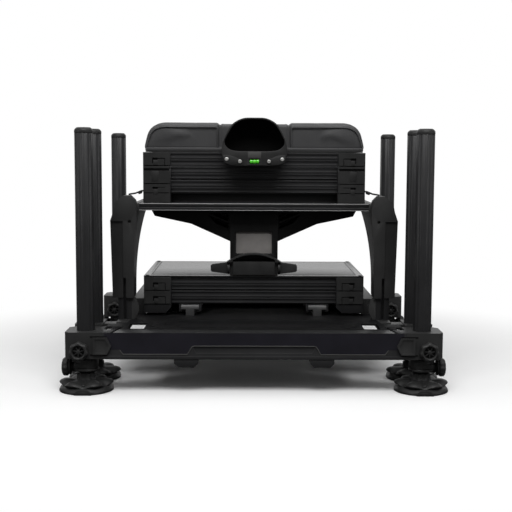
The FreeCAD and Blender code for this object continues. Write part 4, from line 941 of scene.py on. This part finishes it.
cup = {"front": -144, "back": -87, "floor": -96.5, "rim": 3.3, "top": 538, "low": 439.8, "half": 68,
       "round": 11, "mouth": 505, "paintedShadeLow": 468, "bolts": [(57, 453.3), (29.7, 448.8)]}


def makeCup():
    top, low, half, rim = cup["top"], cup["low"], cup["half"], cup["rim"]
    flank = [(half - 20, low), (half - 6, low + 9), (half, low + 24), (half - 0.8, low + 40),
             (half - 9, top - 33), (half - 22, top - 11.5), (half - 44, top)]
    outline = softened(symmetric(flank), cup["round"], 5)
    shell = profile("pole_cup_shell", outline, "y", (cup["front"], cup["back"]))
    room = [(half - 34, 469.5), (half - 15, 472.5), (half - rim - 0.8, 487), (half - 9 - rim, top - 35),
            (half - 22 - rim * 0.7, top - 12.5 - rim * 0.5), (half - 45, top - rim)]
    outline = softened(symmetric(room), cup["round"], 5)
    inside = profile("inside", outline, "y", (cup["front"] - 2, cup["floor"]))
    seat = slab("seat", (-10.4, 10.4), (cup["front"] - 2, -132.4), (443, 454.6))
    hollow(shell, inside, seat)
    rounded(shell, 1.1, 3, 50)
    dress(smooth(shell, 35), mouldedNylon, "pole_cup")
    darken(shell)
    makeEars()
    makeLevel()


# Painted shade: the faces that look in towards the mouth of the cup take the near-black shade material
def darken(shell):
    shell.data.materials.append(paintedShade)
    mouth = Vector((0, cup["front"] - 6, cup["mouth"])) * mm
    for face in shell.data.polygons:
        inwards = face.normal.dot(mouth - face.center) > 0
        if inwards and face.center.y > (cup["front"] + 2) * mm and face.center.z > cup["paintedShadeLow"] * mm:
            face.material_index = 1


def makeEars():
    (outerX, outerZ), (innerX, innerZ) = cup["bolts"]
    points = [(outerX + 8.5, outerZ + 9), (outerX - 8, outerZ + 8), (innerX + 4, innerZ + 6.5),
              (innerX - 5, innerZ + 3), (innerX - 5, innerZ - 6), (outerX - 8, innerZ - 7.5),
              (outerX + 5.5, outerZ - 6.5)]
    for side in (-1, 1):
        outline = softened(onSide(points, side), 5)
        ear = profile(f"cup_ear_{side}", outline, "y", (cup["front"] - 0.9, cup["front"] + 1), 0.5, 2)
        standing(ear, mouldedNylon, "pole_cup")
    rings = [(2.2, -4), (2.2, 0.6), (3.9, 0.7), (4, 1.3), (3.6, 2.2), (2.3, 2.7), (1.9, 2.6), (1.8, 1.5),
             (0.5, 1.5)]
    for side in (-1, 1):
        for i, (x, z) in enumerate(cup["bolts"]):
            bolt = turned(f"cup_bolt_{side}_{i}", rings, "y", 28, (side * x, cup["front"], z))
            dress(smooth(bolt, 40), zincSteel, "cup_screws")


level = {"place": (0, -138.4, 448.8), "rings": (-3.4, 3.4),
         "vial": [(4.4, -10), (5.4, -9.2), (5.4, 9.2), (4.4, 10)],
         "plate": [(-13.5, 456), (13.5, 456), (13.5, 468.6), (-13.5, 468.6)],
         "holder": [(-17, 441.6), (17, 441.6), (14.5, 456.4), (-14.5, 456.4)]}


def makeLevel():
    y = (cup["front"] - 0.8, cup["front"] + 1)
    standing(profile("level_plate", level["plate"], "y", y, 0.4, 2), greyInsert, "pole_cup")
    holder = profile("level_holder", softened(level["holder"], 1.5), "y", y)
    hollow(holder, slab("window", (-10.2, 10.2), (-150, -130), (443.4, 454.4)))
    standing(holder, mouldedNylon, "pole_cup")
    vial = turned("level_vial", level["vial"], "x", 32, level["place"])
    dress(smooth(vial, 40), greenSpirit, "spirit_level")
    for i, x in enumerate(level["rings"]):
        ring = turned(f"level_ring_{i}", [(5.5, x - 0.35), (5.5, x + 0.35)], "x", 32, level["place"])
        dress(smooth(ring, 40), mouldedNylon, "spirit_level")


makeCup()
print("pole cup is ready")


# Pedestal and deck, with painted highlights along the deck's two front edges

deckEdge = {"half": 240.4, "y": (-108.7, -106), "z": {"upper": (359.2, 360.7), "lower": (345.8, 346.9)}}

refined("deck", anodisedProfile, 1.2, 2)
# Thin strips along the front edges, coloured bright as a painted highlight
for name, z in deckEdge["z"].items():
    edge = slab(f"deck_edge_{name}", (-deckEdge["half"], deckEdge["half"]), deckEdge["y"], z, 0.4)
    standing(edge, paintedEdgeHighlight, "deck")
# The post's light grey is partly its satin metal and partly a painted reflection of the floor
refined("column_post", satinPostAndSheen, 0.5)
# The column's darker coat is painted shade under the deck
refined("column", paintedShadeCoat, 0.8)
refined("column_clamp", mouldedNylon, 0.6, 3)
refined("clamp_handle", mouldedNylon, 1.4, 3)


# Struts across the openings of the wings, with a web of painted shade behind them; drawn for the left wing

wing = {"y": (-20, 6), "web": (6, 7), "strut": 2.4, "panel": [(-52, 338), (-150, 338), (-52, 286)],
        "lines": [((-52, 306), (-112, 338)), ((-52, 336), (-96, 316)), ((-52, 322), (-80, 338)),
                  ((-84, 312), (-96, 338))]}


def makeStruts():
    for side in (-1, 1):
        web = profile(f"wing_web_{side}", onSide(wing["panel"], -side), "y", wing["web"])
        standing(web, paintedShade, "column", 0)
        for i, line in enumerate(wing["lines"]):
            outline = onSide(ribbon(line, wing["strut"]), -side)
            standing(profile(f"wing_strut_{side}_{i}", outline, "y", wing["y"], 0.3, 1), powderCoat, "column")


makeStruts()


# Arms: the flat web is cut out and one with a concave rear edge put in its place

armWeb = {"x": (249.2, 254.6), "cut": ((240, 256), (-96, 118), (160, 333)), "low": 168, "high": 333,
          "front": (-98.6, -96.5), "start": -93, "reach": 205, "bend": 2.6, "steps": 12, "rear": 112,
          "lap": 3, "toe": 10}


def makeArms():
    refined("arm_clips", mouldedNylon, 0.4)
    w = armWeb
    low, high, toe = w["low"], w["high"], w["low"] + w["toe"]
    outline = [(y, low) for y in w["front"]]
    for step in range(w["steps"] + 1):
        t = step / w["steps"]
        outline.append((w["start"] + w["reach"] * t ** w["bend"], toe + (high - toe) * t))
    outline += [(w["rear"], high + w["lap"]), (w["front"][0], high + w["lap"])]
    cutX, cutY, cutZ = w["cut"]
    for name, side in sides.items():
        node = f"arm_{name}"
        arm = refined(node, powderCoat, 1.6, 3)
        hollow(arm, slab("web", spanned(cutX, side), cutY, cutZ))
        smooth(arm, 30)
        web = profile(f"arm_web_{name}", outline, "x", spanned(w["x"], side), 0.6, 1)
        standing(web, powderCoat, node, 30)


makeArms()
print("pedestal, deck and arms are ready")
